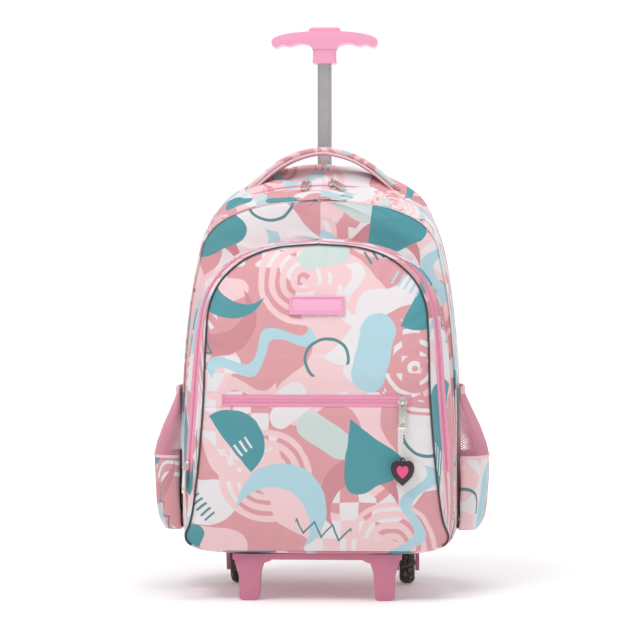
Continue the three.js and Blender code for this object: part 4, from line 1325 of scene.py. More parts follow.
class Shell:
    """One compartment's side wall: outlines and sections blended from back to front."""

    def __init__(self, form: BagForm, sections: Sequence[Section], outlines: Sequence[Sequence[Corner]],
                 rear: Callable[[float], float], front: Callable[[float], float]) -> None:
        """Keeps the sections and samples the outlines.

        Args:
            form: The bag's shared sizes.
            sections: Sections from back to front.
            outlines: The back and the front outline.
            rear: Depth of the back at a height.
            front: Depth of the front at a height.
        """
        self.form = form
        self.sections = sections
        self.outlines = [Outline(rows, form.half_width, form.height) for rows in outlines]
        self.rear = rear
        self.front = front

    def section(self, depth: float) -> Section:
        """Section at a share of the depth.

        Args:
            depth: The share.

        Returns:
            The section.
        """
        for a, b in zip(self.sections, self.sections[1:]):
            if depth <= b.depth or b is self.sections[-1]:
                t = clamp((depth - a.depth) / (b.depth - a.depth))
                return Section(*(lerp(x, y, t) for x, y in zip(a, b)))
        return self.sections[-1]

    def point(self, depth: float, s: float) -> Vector:
        """Point of the side wall.

        Args:
            depth: Share of the depth, 0 at the back.
            s: Signed outline parameter: 0 at the bottom middle, 1 and -1 at the top middle.

        Returns:
            The point.
        """
        section = self.section(depth)
        corners = [outline.at(abs(s)) for outline in self.outlines]
        tall = (section.top - section.bottom) * self.form.height
        low = self.form.bottom + section.bottom * self.form.height
        half = section.width * self.form.half_width
        width = lerp(corners[0].width, corners[1].width, section.blend) * half
        z = low + lerp(corners[0].height, corners[1].height, section.blend) * tall
        return Vector((math.copysign(width, s), lerp(self.rear(z), self.front(z), depth), z))

    def from_start(self, depth: float, z: float) -> float:
        """First outline parameter at which a section has climbed past a height."""
        return next(t for t in spread(0, 1, 400) if self.point(depth, t).z > z)

    def at_depth(self, y: float, s: float) -> Vector:
        """Point of the side wall at a depth in metres, found by a few repeats.

        Args:
            y: The depth.
            s: Signed outline parameter.

        Returns:
            The point.
        """
        depth = 0.5
        for _ in range(3):
            point = self.point(depth, s)
            back, front = self.rear(point.z), self.front(point.z)
            depth = clamp((back - y) / (back - front))
        return self.point(depth, s)

    def out(self, depth: float, s: float) -> Vector:
        """Direction out of the side wall, in the plane of its section.

        Args:
            depth: Share of the depth.
            s: Signed outline parameter.

        Returns:
            The direction.
        """
        step = 0.004
        if abs(abs(s) - 1) < step:
            return UP.copy()
        along = self.point(depth, clamp(s + step, -1, 1)) - self.point(depth, clamp(s - step, -1, 1))
        normal = Vector((along.z, 0.0, -along.x))
        return normal.normalized() if normal.length > 1e-9 else -UP


@dataclass
class MainCompartment:
    """Rear compartment: its side wall with the groove of the zip, and the walls behind and in front."""

    kit: Kit
    form: BagForm
    groove: float = 0.0014
    side_cloth: float = 0.0016
    panel_cloth: float = 0.0012
    seam_radius: float = 0.0009
    binding_width: float = 0.0075
    binding_thickness: float = 0.0016

    def __post_init__(self) -> None:
        """Makes the shell's form and the places that follow from it."""
        form = self.form
        self.shell = Shell(form, MAIN_SECTIONS, (BODY_OUTLINE, SEAM_OUTLINE),
                           lambda z: form.back, form.main_front)
        self.zip_y = form.back - form.main_zip_y
        self.middle = Vector((0, self.zip_y, 0.25))

    def build(self) -> None:
        """Builds the side wall, the front panel and the seams."""
        self.side_wall()
        self.front_panel()
        self.back_wall()
        self.seam_roll()
        self.back_binding()

    def rows(self) -> list[Pair]:
        """Rows from back to front: stretch of the depth and share within it."""
        stretches = ((0, (0, 0.02, 0.06, 0.12, *spread(0.2, 0.9, 7), 0.95, 0.985, 1)),
                     (1, (0.04, *spread(0.12, 0.88, 4), 0.96, 1)),
                     (2, (0.015, 0.05, *spread(0.1, 0.92, 14), 0.955, 0.98, 1)))
        return [(n, t) for n, shares in stretches for t in shares]

    def wall_point(self, s: float, row: Pair) -> Vector:
        """Point of the side wall with its groove and its folds.

        Args:
            s: Signed outline parameter.
            row: Stretch of the depth, which is 1 on the zip, and share within it.

        Returns:
            The point.
        """
        part, t = row
        half = self.form.main_zip_half
        rear, ahead = self.zip_y + half, self.zip_y - half
        guess = self.shell.at_depth(self.zip_y, s)
        stops = (self.form.back, rear, ahead, self.form.main_front(guess.z))
        y = lerp(stops[part], stops[part + 1], t)
        point = self.shell.at_depth(y, s)
        depth = (self.form.back - point.y) / (self.form.back - self.form.main_front(point.z))
        out = self.shell.out(depth, s)
        sink = 0.0
        if part == 1 and t < 1:
            sink = -self.groove * smooth(self.form.main_zip_end, self.form.main_zip_end + 0.002, point.z)
        return point + out * (sink + self.folds(point, depth, part))

    def folds(self, point: Vector, depth: float, part: int) -> float:
        """Height of the cloth's folds above its smooth form.

        Args:
            point: Point of the smooth form.
            depth: Its share of the depth.
            part: Stretch of the depth, which is 1 on the zip.

        Returns:
            The height.
        """
        if part == 1:
            return 0.0
        rim = smooth(0.0, 0.12, depth) * smooth(1.0, 0.93, depth)
        crease = smooth(0.0, 0.1, abs(point.y - self.zip_y) / 0.05)
        high = smooth(0.38, 0.47, point.z)
        around = math.atan2(point.x, point.z - 0.3)
        rolling = ripple(around * 3.0, point.y * 60, 1.7)
        fine = ripple(around * 7.0 + 3.0, point.y * 120, 5.1)
        low = ripple(point.x * 6, point.y * 22, point.z * 14)
        ridge = max(0.0, 1 - abs(ripple(around * 2.4, point.y * 85 + around * 2, 9.4)) * 3.2) ** 2
        return rim * crease * (high * (0.0036 * rolling + 0.0014 * fine + 0.0026 * ridge) + 0.0014 * low)

    def wall_print(self, s: float, row: Pair) -> Pair:
        """Flat place of the side wall: depth across, way round the outline up.

        Args:
            s: Signed outline parameter.
            row: Stretch of the depth and share within it.

        Returns:
            The place.
        """
        part, t = row
        y = (0.0, self.form.main_zip_y, self.form.main_zip_y, self.form.main_depth)[part]
        far = (self.form.main_zip_y, self.form.main_zip_y, self.form.main_depth)[part]
        return lerp(y, far, t) * 0.9 + (0.21 if s < 0 else 0.05), abs(s) * 0.66 + 0.11

    def side_wall(self) -> None:
        """Builds the side wall."""
        shape = self.kit.sheet(spread(-1, 1, 240), self.rows(), self.wall_point, self.wall_print, 2e-5)
        self.kit.cloth("main_side_wall", shape, self.middle, self.side_cloth, nodes=["main_compartment"])

    def front_panel(self) -> None:
        """Builds the panel between the front seam and the front compartment."""
        form = self.form

        def place(a: float, t: float) -> Vector:
            """Point of the panel, with its belly, its folds and the seam down its middle.

            Args:
                a: Share of the width.
                t: Outline parameter.

            Returns:
                The point.
            """
            edge = self.shell.point(1.0, t)
            x = a * (edge.x - 0.0008)
            y = form.main_front(edge.z)
            belly = (1 - a ** 8) * smooth(1.0, 0.93, t)
            wave = ripple(a * 2.2, edge.z * 26, 8.3) * smooth(0.36, 0.4, edge.z)
            wave += 1.4 * max(0.0, 1 - 3 * abs(ripple(a * 1.6, edge.z * 34 + a * 1.2, 2.6))) ** 2
            seam = -0.0007 * math.exp(-(x / 0.0012) ** 2) * smooth(0.376, 0.39, edge.z)
            return Vector((x, y - belly * (0.0016 + 0.0012 * wave) - seam, edge.z))

        def printed(a: float, t: float) -> Pair:
            """Flat place: straight on, moved on by a third on the right of the seam."""
            edge = self.shell.point(1.0, t)
            return a * edge.x + (0.13 if a > 0 else 0.02), edge.z + 0.055

        starts = self.shell.from_start(1.0, form.bottom + 0.0016)
        across = sorted({*spread(-1, 1, 96), -0.006, 0.006, -0.012, 0.012})
        shape = self.kit.sheet(across, spread(starts, 1.0, 150), place, printed, 2e-5)
        self.kit.cloth("main_front_panel", shape, self.middle, self.panel_cloth, nodes=["main_front_wall"])

    def back_wall(self) -> None:
        """Builds the flat wall behind the padded back."""
        form = self.form
        starts = self.shell.from_start(0.0, form.bottom + 0.004)

        def place(a: float, t: float) -> Vector:
            """Point at a share of the width and an outline parameter."""
            edge = self.shell.point(0.0, t)
            return Vector((a * (edge.x - 0.0003), form.back - 0.0002, edge.z))

        shape = self.kit.sheet(spread(-1, 1, 24), spread(starts, 1.0, 90), place,
                               lambda a, t: (a * form.half_width, t * form.height), 2e-5)
        self.kit.cloth("main_back_wall", shape, self.middle, self.panel_cloth, "binding")

    def ring(self, depth: float, ahead: float) -> list[Vector]:
        """Closed line a little outside a section.

        Args:
            depth: Share of the depth.
            ahead: How far the line is moved forwards.

        Returns:
            Its points, the first one again at the end.
        """
        points = []
        for s in spread(-1, 1, 220)[:-1]:
            grown = self.shell.point(depth, s) + self.shell.out(depth, s) * 0.0002 + FORWARD * ahead
            if not points or (grown - points[-1]).length > 0.0004:
                points.append(grown)
        return [*points, points[0]]

    def seam_roll(self) -> None:
        """Builds the rolled seam along the front edge, of the cloth itself."""
        loop = self.ring(1.0, 0.0006)
        middle = Vector((0, 0, 0.27))
        self.kit.strip("main_seam_roll", loop, lambda i: loop[i] - middle,
                       Kit.round_section(self.seam_radius), "printed_cloth")

    def back_binding(self) -> None:
        """Builds the woven binding round the back edge."""
        section = Kit.flat_section(self.binding_width, self.binding_thickness, 0.8)
        self.kit.strip("back_edge_binding", self.ring(0.02, 0.0), BACKWARD, section, "binding")


@dataclass
class FrontCompartment:
    """Front compartment: gusset with its zip groove, crowned panel, piping and pocket seam."""

    kit: Kit
    form: BagForm
    groove: float = 0.0014
    cloth: float = 0.0016
    piping_start: float = 0.19
    piping_radius: float = 0.00095
    roll_start: float = 0.04
    roll_radius: float = 0.0011

    def __post_init__(self) -> None:
        """Makes the gusset's form and measures the panel's edge."""
        form = self.form
        self.shell = Shell(form, FRONT_SECTIONS, (JUNCTION_OUTLINE, PIPED_OUTLINE),
                           lambda z: form.main_front(z) - 0.0003, form.front_edge)
        self.edge = [self.shell.point(1.0, t) for t in spread(0, 1, 700)]
        self.low, self.high = self.edge[0].z, self.edge[-1].z
        self.middle = (self.low + self.high) / 2
        self.reach = sorted((math.atan2(p.z - self.middle, p.x), math.hypot(p.x, p.z - self.middle))
                            for p in self.edge)

    def gauge(self, x: float, z: float) -> float:
        """Share of the way from the panel's middle to its edge.

        Args:
            x: Place across.
            z: Height.

        Returns:
            The share, 1 on the edge.
        """
        dz = z - self.middle
        place = bisect_left(self.reach, (math.atan2(dz, abs(x)),), 1, len(self.reach) - 1)
        return min(1.0, math.hypot(x, dz) / self.reach[place][1])

    def build(self) -> None:
        """Builds the gusset, the panel and the trim on them."""
        self.gusset()
        self.panel()
        self.piping()
        self.junction_roll()

    def gusset_point(self, s: float, depth: float) -> Vector:
        """Point of the gusset with its zip groove and its folds.

        Args:
            s: Signed outline parameter.
            depth: Share of the depth.

        Returns:
            The point.
        """
        point = self.shell.point(depth, s)
        out = self.shell.out(depth, s)
        form = self.form
        if form.front_zip_near < depth < form.front_zip_far:
            sink = -self.groove * smooth(form.front_zip_end, form.front_zip_end + 0.003, point.z)
            return point + out * sink
        clear = min(abs(depth - form.front_zip_near), abs(depth - form.front_zip_far))
        rim = smooth(0.0, 0.08, depth) * smooth(1.0, 0.95, depth) * smooth(0.0, 0.06, clear)
        wave = ripple(point.x * 9, point.y * 40, point.z * 17) * 0.0015
        sag = 0.0016 * math.sin(math.pi * depth / form.front_zip_near) if depth < form.front_zip_near else 0.0
        return point + out * (rim * (wave + 0.5 * sag))

    def gusset(self) -> None:
        """Builds the gusset."""
        form = self.form
        near, far = form.front_zip_near, form.front_zip_far
        rows = [0, 0.02, 0.06, *spread(0.12, near - 0.05, 8), near - 0.02, near, near + 0.004,
                *spread(near + 0.02, far - 0.02, 4), far - 0.004, far, far + 0.02,
                *spread(far + 0.05, 0.94, 6), 0.98, 1.0]

        def printed(s: float, depth: float) -> Pair:
            """Flat place of the gusset."""
            return depth * 0.075 + (0.19 if s < 0 else 0.01), abs(s) * 0.56 + 0.23

        shape = self.kit.sheet(spread(-1, 1, 240), rows, self.gusset_point, printed, 2e-5)
        middle = Vector((0, form.back - 0.17, 0.2))
        self.kit.cloth("front_gusset", shape, middle, self.cloth, nodes=["front_compartment"])

    def crown(self, x: float, z: float) -> float:
        """How far the panel stands ahead of its edge."""
        g = self.gauge(x, z)
        return self.form.bulge * (1 - g ** 10)

    def panel_front(self, x: float, z: float) -> float:
        """Depth of the panel's face, with its crown, the pocket's zip and seams, and its folds.

        Args:
            x: Place across.
            z: Height.

        Returns:
            The depth.
        """
        form = self.form
        g = self.gauge(x, z)
        off = z - form.pocket_zip_z
        half = form.pocket_zip_width / 2
        ends = smooth(form.pocket_zip_half + 0.0004, form.pocket_zip_half - 0.0012, abs(x))
        face = self.crown(x, z)
        face -= self.groove * ends * smooth(half, half - 0.0006, abs(off))
        seam = sum(math.exp(-((off - side * (half + 0.0012)) / 0.0011) ** 2) for side in (-1, 1))
        face -= 0.0008 * seam * (1 - 0.5 * ends)
        face += 0.0014 * smooth(0.0, -0.012, off + half) * smooth(-0.16, -0.03, off + half) * (1 - g ** 6)
        calm = smooth(0.0, 0.02, abs(off) - half) * (1 - g ** 14)
        folds = ripple(x * 7 + 2, 3.1, z * 9) * 0.0024 + ripple(x * 24, 9.2, z * 16) * 0.0006
        folds += 0.0011 * max(0.0, 1 - 4 * abs(ripple(x * 9 + z * 6, 4.4, z * 7 - x * 5))) ** 2
        corner = smooth(0.78, 0.97, g) * smooth(1.0, 0.97, g)
        angle = math.atan2(z - 0.22, x)
        folds += corner * 0.0009 * math.sin(angle * 46 + 3 * ripple(angle * 3, 0, 0))
        label = smooth(0.045, 0.030, abs(x)) * smooth(0.022, 0.012, abs(z - 0.317))
        face += calm * (1 - label) * folds - 0.0008 * label
        return form.front_edge(z) - face

    def panel_rows(self) -> list[float]:
        """Heights of the panel's rows, closer at the ends and at the pocket's zip."""
        form = self.form
        heights = [p.z for p in self.edge[::7] if p.z > self.low + 0.0008]
        half = form.pocket_zip_width / 2
        steps = (-0.004, -0.0024, -0.0012, -0.0006, 0.0, 0.0006)
        extra = [form.pocket_zip_z + side * (half - step) for side in (-1, 1) for step in steps]
        fill = spread(self.low + 0.004, self.high - 0.02, 120)
        rows = sorted([*heights, *extra, *fill])
        kept = [rows[0]]
        for z in rows[1:]:
            if z - kept[-1] > 0.0004:
                kept.append(z)
        return kept

    def half_at(self, z: float) -> float:
        """Half width of the panel at a height.

        Args:
            z: The height.

        Returns:
            The half width.
        """
        for a, b in zip(self.edge, self.edge[1:]):
            if a.z <= z <= b.z and b.z > a.z:
                return lerp(a.x, b.x, (z - a.z) / (b.z - a.z))
        return 0.0

    def panel(self) -> None:
        """Builds the crowned panel."""
        halves = {z: self.half_at(z) for z in self.panel_rows()}

        def place(a: float, z: float) -> Vector:
            """Point at a share of the width and a height."""
            x = a * halves[z]
            return Vector((x, self.panel_front(x, z), z))

        def printed(a: float, z: float) -> Pair:
            """Flat place, cut anew below the pocket's zip."""
            below = z < self.form.pocket_zip_z
            return a * halves[z] + (0.155 if below else 0.165), z - (0.040 if below else 0.045)

        shape = self.kit.sheet(spread(-1, 1, 150), list(halves), place, printed, 2e-5)
        self.kit.cloth("front_panel", shape, Vector((0, 0, 0.2)), self.cloth)

    def arch(self, depth: float, shares: Sequence[float], grow: float, ahead: float) -> list[Vector]:
        """Line up the left side of a section and down its right side.

        Args:
            depth: Share of the depth.
            shares: Outline parameters from an end to the top.
            grow: How far it stands out of the section.
            ahead: How far it is moved forwards.

        Returns:
            Its points.
        """
        right = [self.shell.point(depth, t) + self.shell.out(depth, t) * grow for t in shares]
        left = [Vector((-p.x, p.y, p.z)) for p in right[:-1]]
        return [p + FORWARD * ahead for p in [*left, *reversed(right)]]

    def piping(self) -> None:
        """Builds the dark cord round the panel's edge."""
        path = self.arch(1.0, spread(self.piping_start, 1.0, 150), 0.0008, 0.0009)
        middle = Vector((0, 0, 0.22))
        self.kit.strip("front_piping_cord", path, lambda i: path[i] - middle,
                       Kit.round_section(self.piping_radius), "piping_cord", nodes=["front_piping"])

    def junction_roll(self) -> None:
        """Builds the seam where the gusset meets the main compartment."""
        path = self.arch(0.0, spread(self.roll_start, 1.0, 120), 0.0006, 0.0012)
        middle = Vector((0, 0, 0.22))
        self.kit.strip("front_junction_roll", path, lambda i: path[i] - middle,
                       Kit.round_section(self.roll_radius), "printed_cloth")


@dataclass
class ZipRun:
    """A zip: tape, two rows of coil teeth and the seams beside them, which are painted dark as shade where
    the coil meets the tape.
    """

    name: str
    node: str
    width: float
    tape_sink: float = 0.0008
    tape_thickness: float = 0.0009
    tooth_pitch: float = 0.0014
    tooth_shift: float = 0.00085

    def build(self, kit: Kit, path: Sequence[Vector], side: Callable[[int], Vector],
              out: Callable[[int], Vector]) -> None:
        """Builds the zip along a path on the cloth's surface.

        Args:
            kit: The mesh kit.
            path: Points on the cloth along the zip's middle.
            side: Direction across the zip at each point.
            out: Direction out of the cloth at each point.
        """
        sunk = [p - out(i) * self.tape_sink for i, p in enumerate(path)]
        section = Kit.flat_section(self.width, self.tape_thickness, 0.6)
        kit.strip(f"{self.name}_tape", sunk, side, section, "zip_tape", nodes=[self.node])
        raised = [p - out(i) * (self.tape_sink - 0.0007) for i, p in enumerate(path)]
        route = Route(raised)
        count = max(2, round(route.length / self.tooth_pitch))
        places = []
        for k in range(count):
            distance = (k + 0.5) * route.length / count
            point, along = route.at(distance)
            i = min(range(len(path)), key=lambda n: abs(route.run[n] - distance))
            normal = out(i)
            across = normal.cross(along).normalized()
            for sign in (-1, 1):
                basis = Matrix((across, along, across.cross(along))).transposed().to_4x4()
                shift = across * (sign * self.tooth_shift) + along * (sign * self.tooth_pitch / 4)
                places.append(Matrix.Translation(point + shift) @ basis)
        teeth = kit.copies(lambda b: Kit.capsule(b, 0.0019, 0.0007, 0.0006), places)
        kit.keep(f"{self.name}_coil", teeth, "zip_coil", slot="zip_tape")
        hem = self.width / 2 - 0.0009
        # inner and outer: raised seams beside the coil, painted dark as shade; the hems keep the tape's own
        # colour.
        seams = (("inner", -1, 0.0021, 0.00035, "zip_line"), ("outer", 1, 0.0021, 0.00035, "zip_line"),
                 ("inner_hem", -1, hem, 0.0004, "zip_tape"), ("outer_hem", 1, hem, 0.0004, "zip_tape"))
        for word, sign, reach, radius, finish in seams:
            line = [p + side(i).normalized() * (sign * reach) + out(i) * 0.0005 for i, p in enumerate(sunk)]
            kit.strip(f"{self.name}_{word}_rib", line, side, Kit.round_section(radius, 6), finish,
                      slot="zip_tape")


@dataclass
class Zips:
    """The three zips of the bag."""

    kit: Kit
    main: MainCompartment
    front: FrontCompartment

    def build(self) -> None:
        """Builds the zips over the two arches and across the front pocket."""
        form = self.main.form
        start = next(t for t in spread(0, 1, 800)
                     if self.main.shell.at_depth(self.main.zip_y, t).z > form.main_zip_end + 0.0005)
        self.over(ZipRun("main_zip", "main_zipper", 2 * form.main_zip_half - 0.0006), start,
                  lambda s: self.main.shell.at_depth(self.main.zip_y, s),
                  lambda s: self.main.shell.out(0.5, s), lambda s: BACKWARD)
        near, far = form.front_zip_near, form.front_zip_far
        middle = (near + far) / 2
        start = next(t for t in spread(0, 1, 800)
                     if self.front.shell.point(middle, t).z > form.front_zip_end + 0.0005)
        width = (self.front.shell.point(near, 0.5) - self.front.shell.point(far, 0.5)).length - 0.0006
        self.over(ZipRun("front_zip", "front_zipper", width), start,
                  lambda s: self.front.shell.point(middle, s),
                  lambda s: self.front.shell.out(middle, s),
                  lambda s: self.front.shell.point(near, s) - self.front.shell.point(far, s))
        reach = form.pocket_zip_half - 0.0006
        path = [Vector((x, form.front_edge(form.pocket_zip_z) - self.front.crown(x, form.pocket_zip_z),
                        form.pocket_zip_z)) for x in spread(-reach, reach, 60)]
        ZipRun("pocket_zip", "pocket_zipper", form.pocket_zip_width - 0.0006).build(
            self.kit, path, lambda i: UP, lambda i: FORWARD)

    def over(self, run: ZipRun, start: float, at: Callable[[float], Vector],
             out: Callable[[float], Vector], side: Callable[[float], Vector]) -> None:
        """Builds a zip that climbs one side and comes down the other.

        Args:
            run: The zip.
            start: Outline parameter of its two ends.
            at: Point on the cloth at an outline parameter.
            out: Direction out of the cloth there.
            side: Direction across the zip there.
        """
        climb = spread(start, 0.995, 150)
        turns = [*climb, *[-t for t in reversed(climb)]]
        run.build(self.kit, [at(s) for s in turns], lambda i: side(turns[i]), lambda i: out(turns[i]))


@dataclass
class SidePocket:
    """Stretch pocket on one side: cloth pouch, open net above it and a binding round its mouth."""

    kit: Kit
    form: BagForm
    side: Side
    bottom: float = 0.069
    height: float = 0.158
    deep: float = 0.054
    bulge: float = 0.035
    cloth_share: float = 0.51
    cloth: float = 0.0012
    tuck: float = 0.012
    net_top: float = 0.955
    net_yarn: float = 0.00045
    net_thickness: float = 0.0007
    mouth: float = 0.978
    sections: tuple = ((0.0, 0.62, 0.84), (0.045, 0.74, 0.93), (0.09, 0.8, 0.96), (0.19, 0.86, 0.98),
                       (0.364, 0.91, 1.0), (0.51, 0.94, 1.0), (0.6, 0.85, 0.99), (0.724, 0.64, 0.97),
                       (0.854, 0.36, 0.95), (0.956, 0.15, 0.93), (1.0, 0.1, 0.92))

    def __post_init__(self) -> None:
        """Works out where it lies on the bag."""
        self.middle = self.form.back - 0.076
        self.root = self.form.half_width - 0.004

    def spread_at(self, share: float) -> Pair:
        """Bulge and half depth at a share of the height, in metres.

        Args:
            share: The share.

        Returns:
            The bulge and the half depth.
        """
        for low, high in zip(self.sections, self.sections[1:]):
            if share <= high[0]:
                t = clamp((share - low[0]) / (high[0] - low[0]))
                return lerp(low[1], high[1], t) * self.bulge, lerp(low[2], high[2], t) * self.deep
        return self.sections[-1][1] * self.bulge, self.sections[-1][2] * self.deep

    def point(self, angle: float, share: float, grow: float = 0.0) -> Vector:
        """Point of the pocket's skin.

        Args:
            angle: Angle round it, 0 where it stands out furthest.
            share: Share of its height.
            grow: How far the point stands off the skin.

        Returns:
            The point.
        """
        out, deep = self.spread_at(share)
        reach = max(math.cos(angle), 0.0) ** 0.62
        low = math.sin(math.pi * clamp(share / self.cloth_share)) ** 0.5
        pleat = 0.0011 * math.sin(angle * 9 + 0.6) * low
        x = self.root + 0.004 + (out + grow) * reach + pleat * reach
        y = self.middle + (deep + grow) * math.sin(angle)
        return Vector((self.side.value * x, y, self.bottom + share * self.height))

    def build(self) -> None:
        """Builds the pouch, the net and the binding."""
        pouch, hem = self.pouch()
        net = self.net()
        self.binding()
        round_it = Route([self.point(angle, 0.4) for angle in self.angles(60)]).length
        self.cloth_share * self.height + self.tuck

    def angles(self, steps: int) -> list[float]:
        """Angles round the pocket from its front to its back."""
        return spread(-math.pi / 2, math.pi / 2, steps)

    def pouch(self) -> tuple[Piece, Piece]:
        """Builds the cloth pouch with its folded bottom, and the hem on it."""
        heights = (0.0, 0.012, 0.03, *spread(0.06, self.cloth_share - 0.02, 22), self.cloth_share)
        rows = [*((-1, t) for t in (0.0, 0.4, 0.75, 0.93)), *((0, t) for t in heights)]

        def place(angle: float, row: tuple[int, float]) -> Vector:
            """Corner of the pouch; the first rows run under it.

            Args:
                angle: Angle round the pocket.
                row: Whether the row runs under it, and share of its way.

            Returns:
                The corner.
            """
            part, t = row
            point = self.point(angle, 0.0 if part else t)
            if part:
                root = Vector((self.side.value * self.root, lerp(self.middle, point.y, 0.96), self.bottom))
                point = root.lerp(point, t)
                point.z += 0.002 * (1 - t)
                return point
            sag = 0.0012 * ripple(angle * 2.4, point.z * 30, 4.0 + self.side.value)
            crease = 0.0012 * math.sin(angle * 5) * smooth(0.1, 0.0, t)
            return point + Vector((self.side.value * (sag + crease), 0, 0))

        def printed(angle: float, row: tuple[int, float]) -> Pair:
            """Flat place of the pouch.

            Args:
                angle: Angle round the pocket.
                row: The row.

            Returns:
                The place.
            """
            part, t = row
            up = (t - 1) * 0.03 if part else t * self.height
            return angle * 0.046 + (0.09 if self.side is Side.LEFT else 0.25), up + 0.19

        shape = self.kit.sheet(self.angles(60), rows, place, printed, 2e-5)
        word = self.side.word
        piece = self.kit.cloth(f"pocket_pouch_{word}", shape, Vector((0, self.middle, 0.13)), self.cloth,
                               nodes=[f"pocket_cloth_{word}"])
        hem = [self.point(a, self.cloth_share, 0.0002) for a in self.angles(60)]
        return piece, self.kit.strip(f"pocket_hem_{word}", hem, UP, Kit.flat_section(0.0035, 0.0016, 0.8),
                                     "binding", slot="net")

    def net(self) -> Piece:
        """Builds the open net: a lattice of diamonds cut out of the pocket's skin."""
        low, high = self.cloth_share + 0.005, self.net_top
        shape = bmesh.new()
        bmesh.ops.create_grid(shape, x_segments=46, y_segments=26, size=1.0)
        straight = shape.edges[:]
        bmesh.ops.poke(shape, faces=shape.faces[:])
        inner = [e for e in straight if e.is_valid and not e.is_boundary]
        bmesh.ops.dissolve_edges(shape, edges=inner, use_verts=False)
        bmesh.ops.subdivide_edges(shape, edges=shape.edges[:], cuts=1, use_grid_fill=False)
        for corner in shape.verts:
            angle = corner.co.x * math.pi / 2
            corner.co = self.point(angle, lerp(low, high, (corner.co.y + 1) / 2))
        made = bmesh.ops.inset_individual(shape, faces=shape.faces[:], thickness=self.net_yarn)
        rims = set(made["faces"])
        bmesh.ops.delete(shape, geom=[f for f in shape.faces if f not in rims], context="FACES")
        return self.kit.cloth(f"pocket_net_{self.side.word}_open", shape, Vector((0, self.middle, 0.19)),
                              self.net_thickness, "net", [f"pocket_net_{self.side.word}"])

    def binding(self) -> None:
        """Builds the gathered elastic binding."""
        path = []
        for angle in self.angles(90):
            gather = 0.0005 * math.sin(angle * 60)
            path.append(self.point(angle, self.mouth, 0.0004) + Vector((self.side.value * gather, 0, 0)))
        self.kit.strip(f"pocket_binding_{self.side.word}_sewn", path, UP,
                       Kit.flat_section(0.0085, 0.0024, 0.9), "binding",
                       nodes=[f"pocket_binding_{self.side.word}"])


@dataclass
class GrabHandle:
    """Padded carrying handle on top, its underside faced with spacer net."""

    kit: Kit
    form: BagForm
    half_span: float = 0.087
    rise: float = 0.047
    thickness: float = 0.012
    net_thickness: float = 0.003
    width: float = 0.030
    cord_radius: float = 0.0014
    profile: tuple = ((1.0, 0.0, 0.6), (0.93, 0.13, 0.9), (0.8, 0.37, 1.0), (0.6, 0.67, 1.0),
                      (0.4, 0.87, 0.92), (0.2, 0.97, 0.8), (0.0, 1.0, 0.68))

    def __post_init__(self) -> None:
        """Works out where its feet stand on the bag."""
        self.foot = self.form.bottom + self.form.height - 0.0283
        self.depth = self.form.back - 0.040

    def line(self, drop: float) -> list[Vector]:
        """Arch from the left foot to the right one, a share of the thickness below its top.

        Args:
            drop: The share.

        Returns:
            Points of the arch.
        """
        thick = drop * self.thickness
        half = [Vector((a * self.half_span, self.depth, self.foot + r * self.rise - t * thick))
                for a, r, t in self.profile]
        other = [Vector((-p.x, p.y, p.z)) for p in half]
        return Kit.curve([*other, *reversed(half[:-1])], 8)

    def build(self) -> None:
        """Builds the pad, the net under it and the edge cords."""
        path = self.line(0.42)
        shares = spread(0, 1, len(path) - 1)
        widths = [clamp(0.62 + 0.38 * smooth(0, 0.12, t) * smooth(1, 0.88, t)) for t in shares]
        section = Kit.pillow_section(0.46 * self.width, 0.0036, (0.55, 0.8), 20)
        pad = self.kit.strip("grab_handle_pad", path, BACKWARD, section, "printed_cloth",
                             nodes=["grab_handle"], widths=widths)
        Kit.puffed(pad, 0.0030, 3.0, 0.0016)
        Kit.printed_flat(pad, lambda p: (p.x * 1.25 + 0.205, (p.y + p.z) * 0.8 - 0.07))
        under = [p + UP * 0.0012 for p in self.line(0.98)]
        section = Kit.flat_section(self.width - 0.004, self.net_thickness, 0.9)
        self.kit.strip("grab_handle_net", under, BACKWARD, section, "spacer_net", slot="net",
                       nodes=["grab_handle_underside"], widths=widths)
        for word, sign in (("front", -1), ("rear", 1)):
            edge = [p + Vector((0, sign * (self.width / 2 - 0.0032), 0)) for p in self.line(0.86)]
            self.kit.strip(f"grab_handle_cord_{word}", edge, BACKWARD, Kit.round_section(self.cord_radius),
                           "binding")


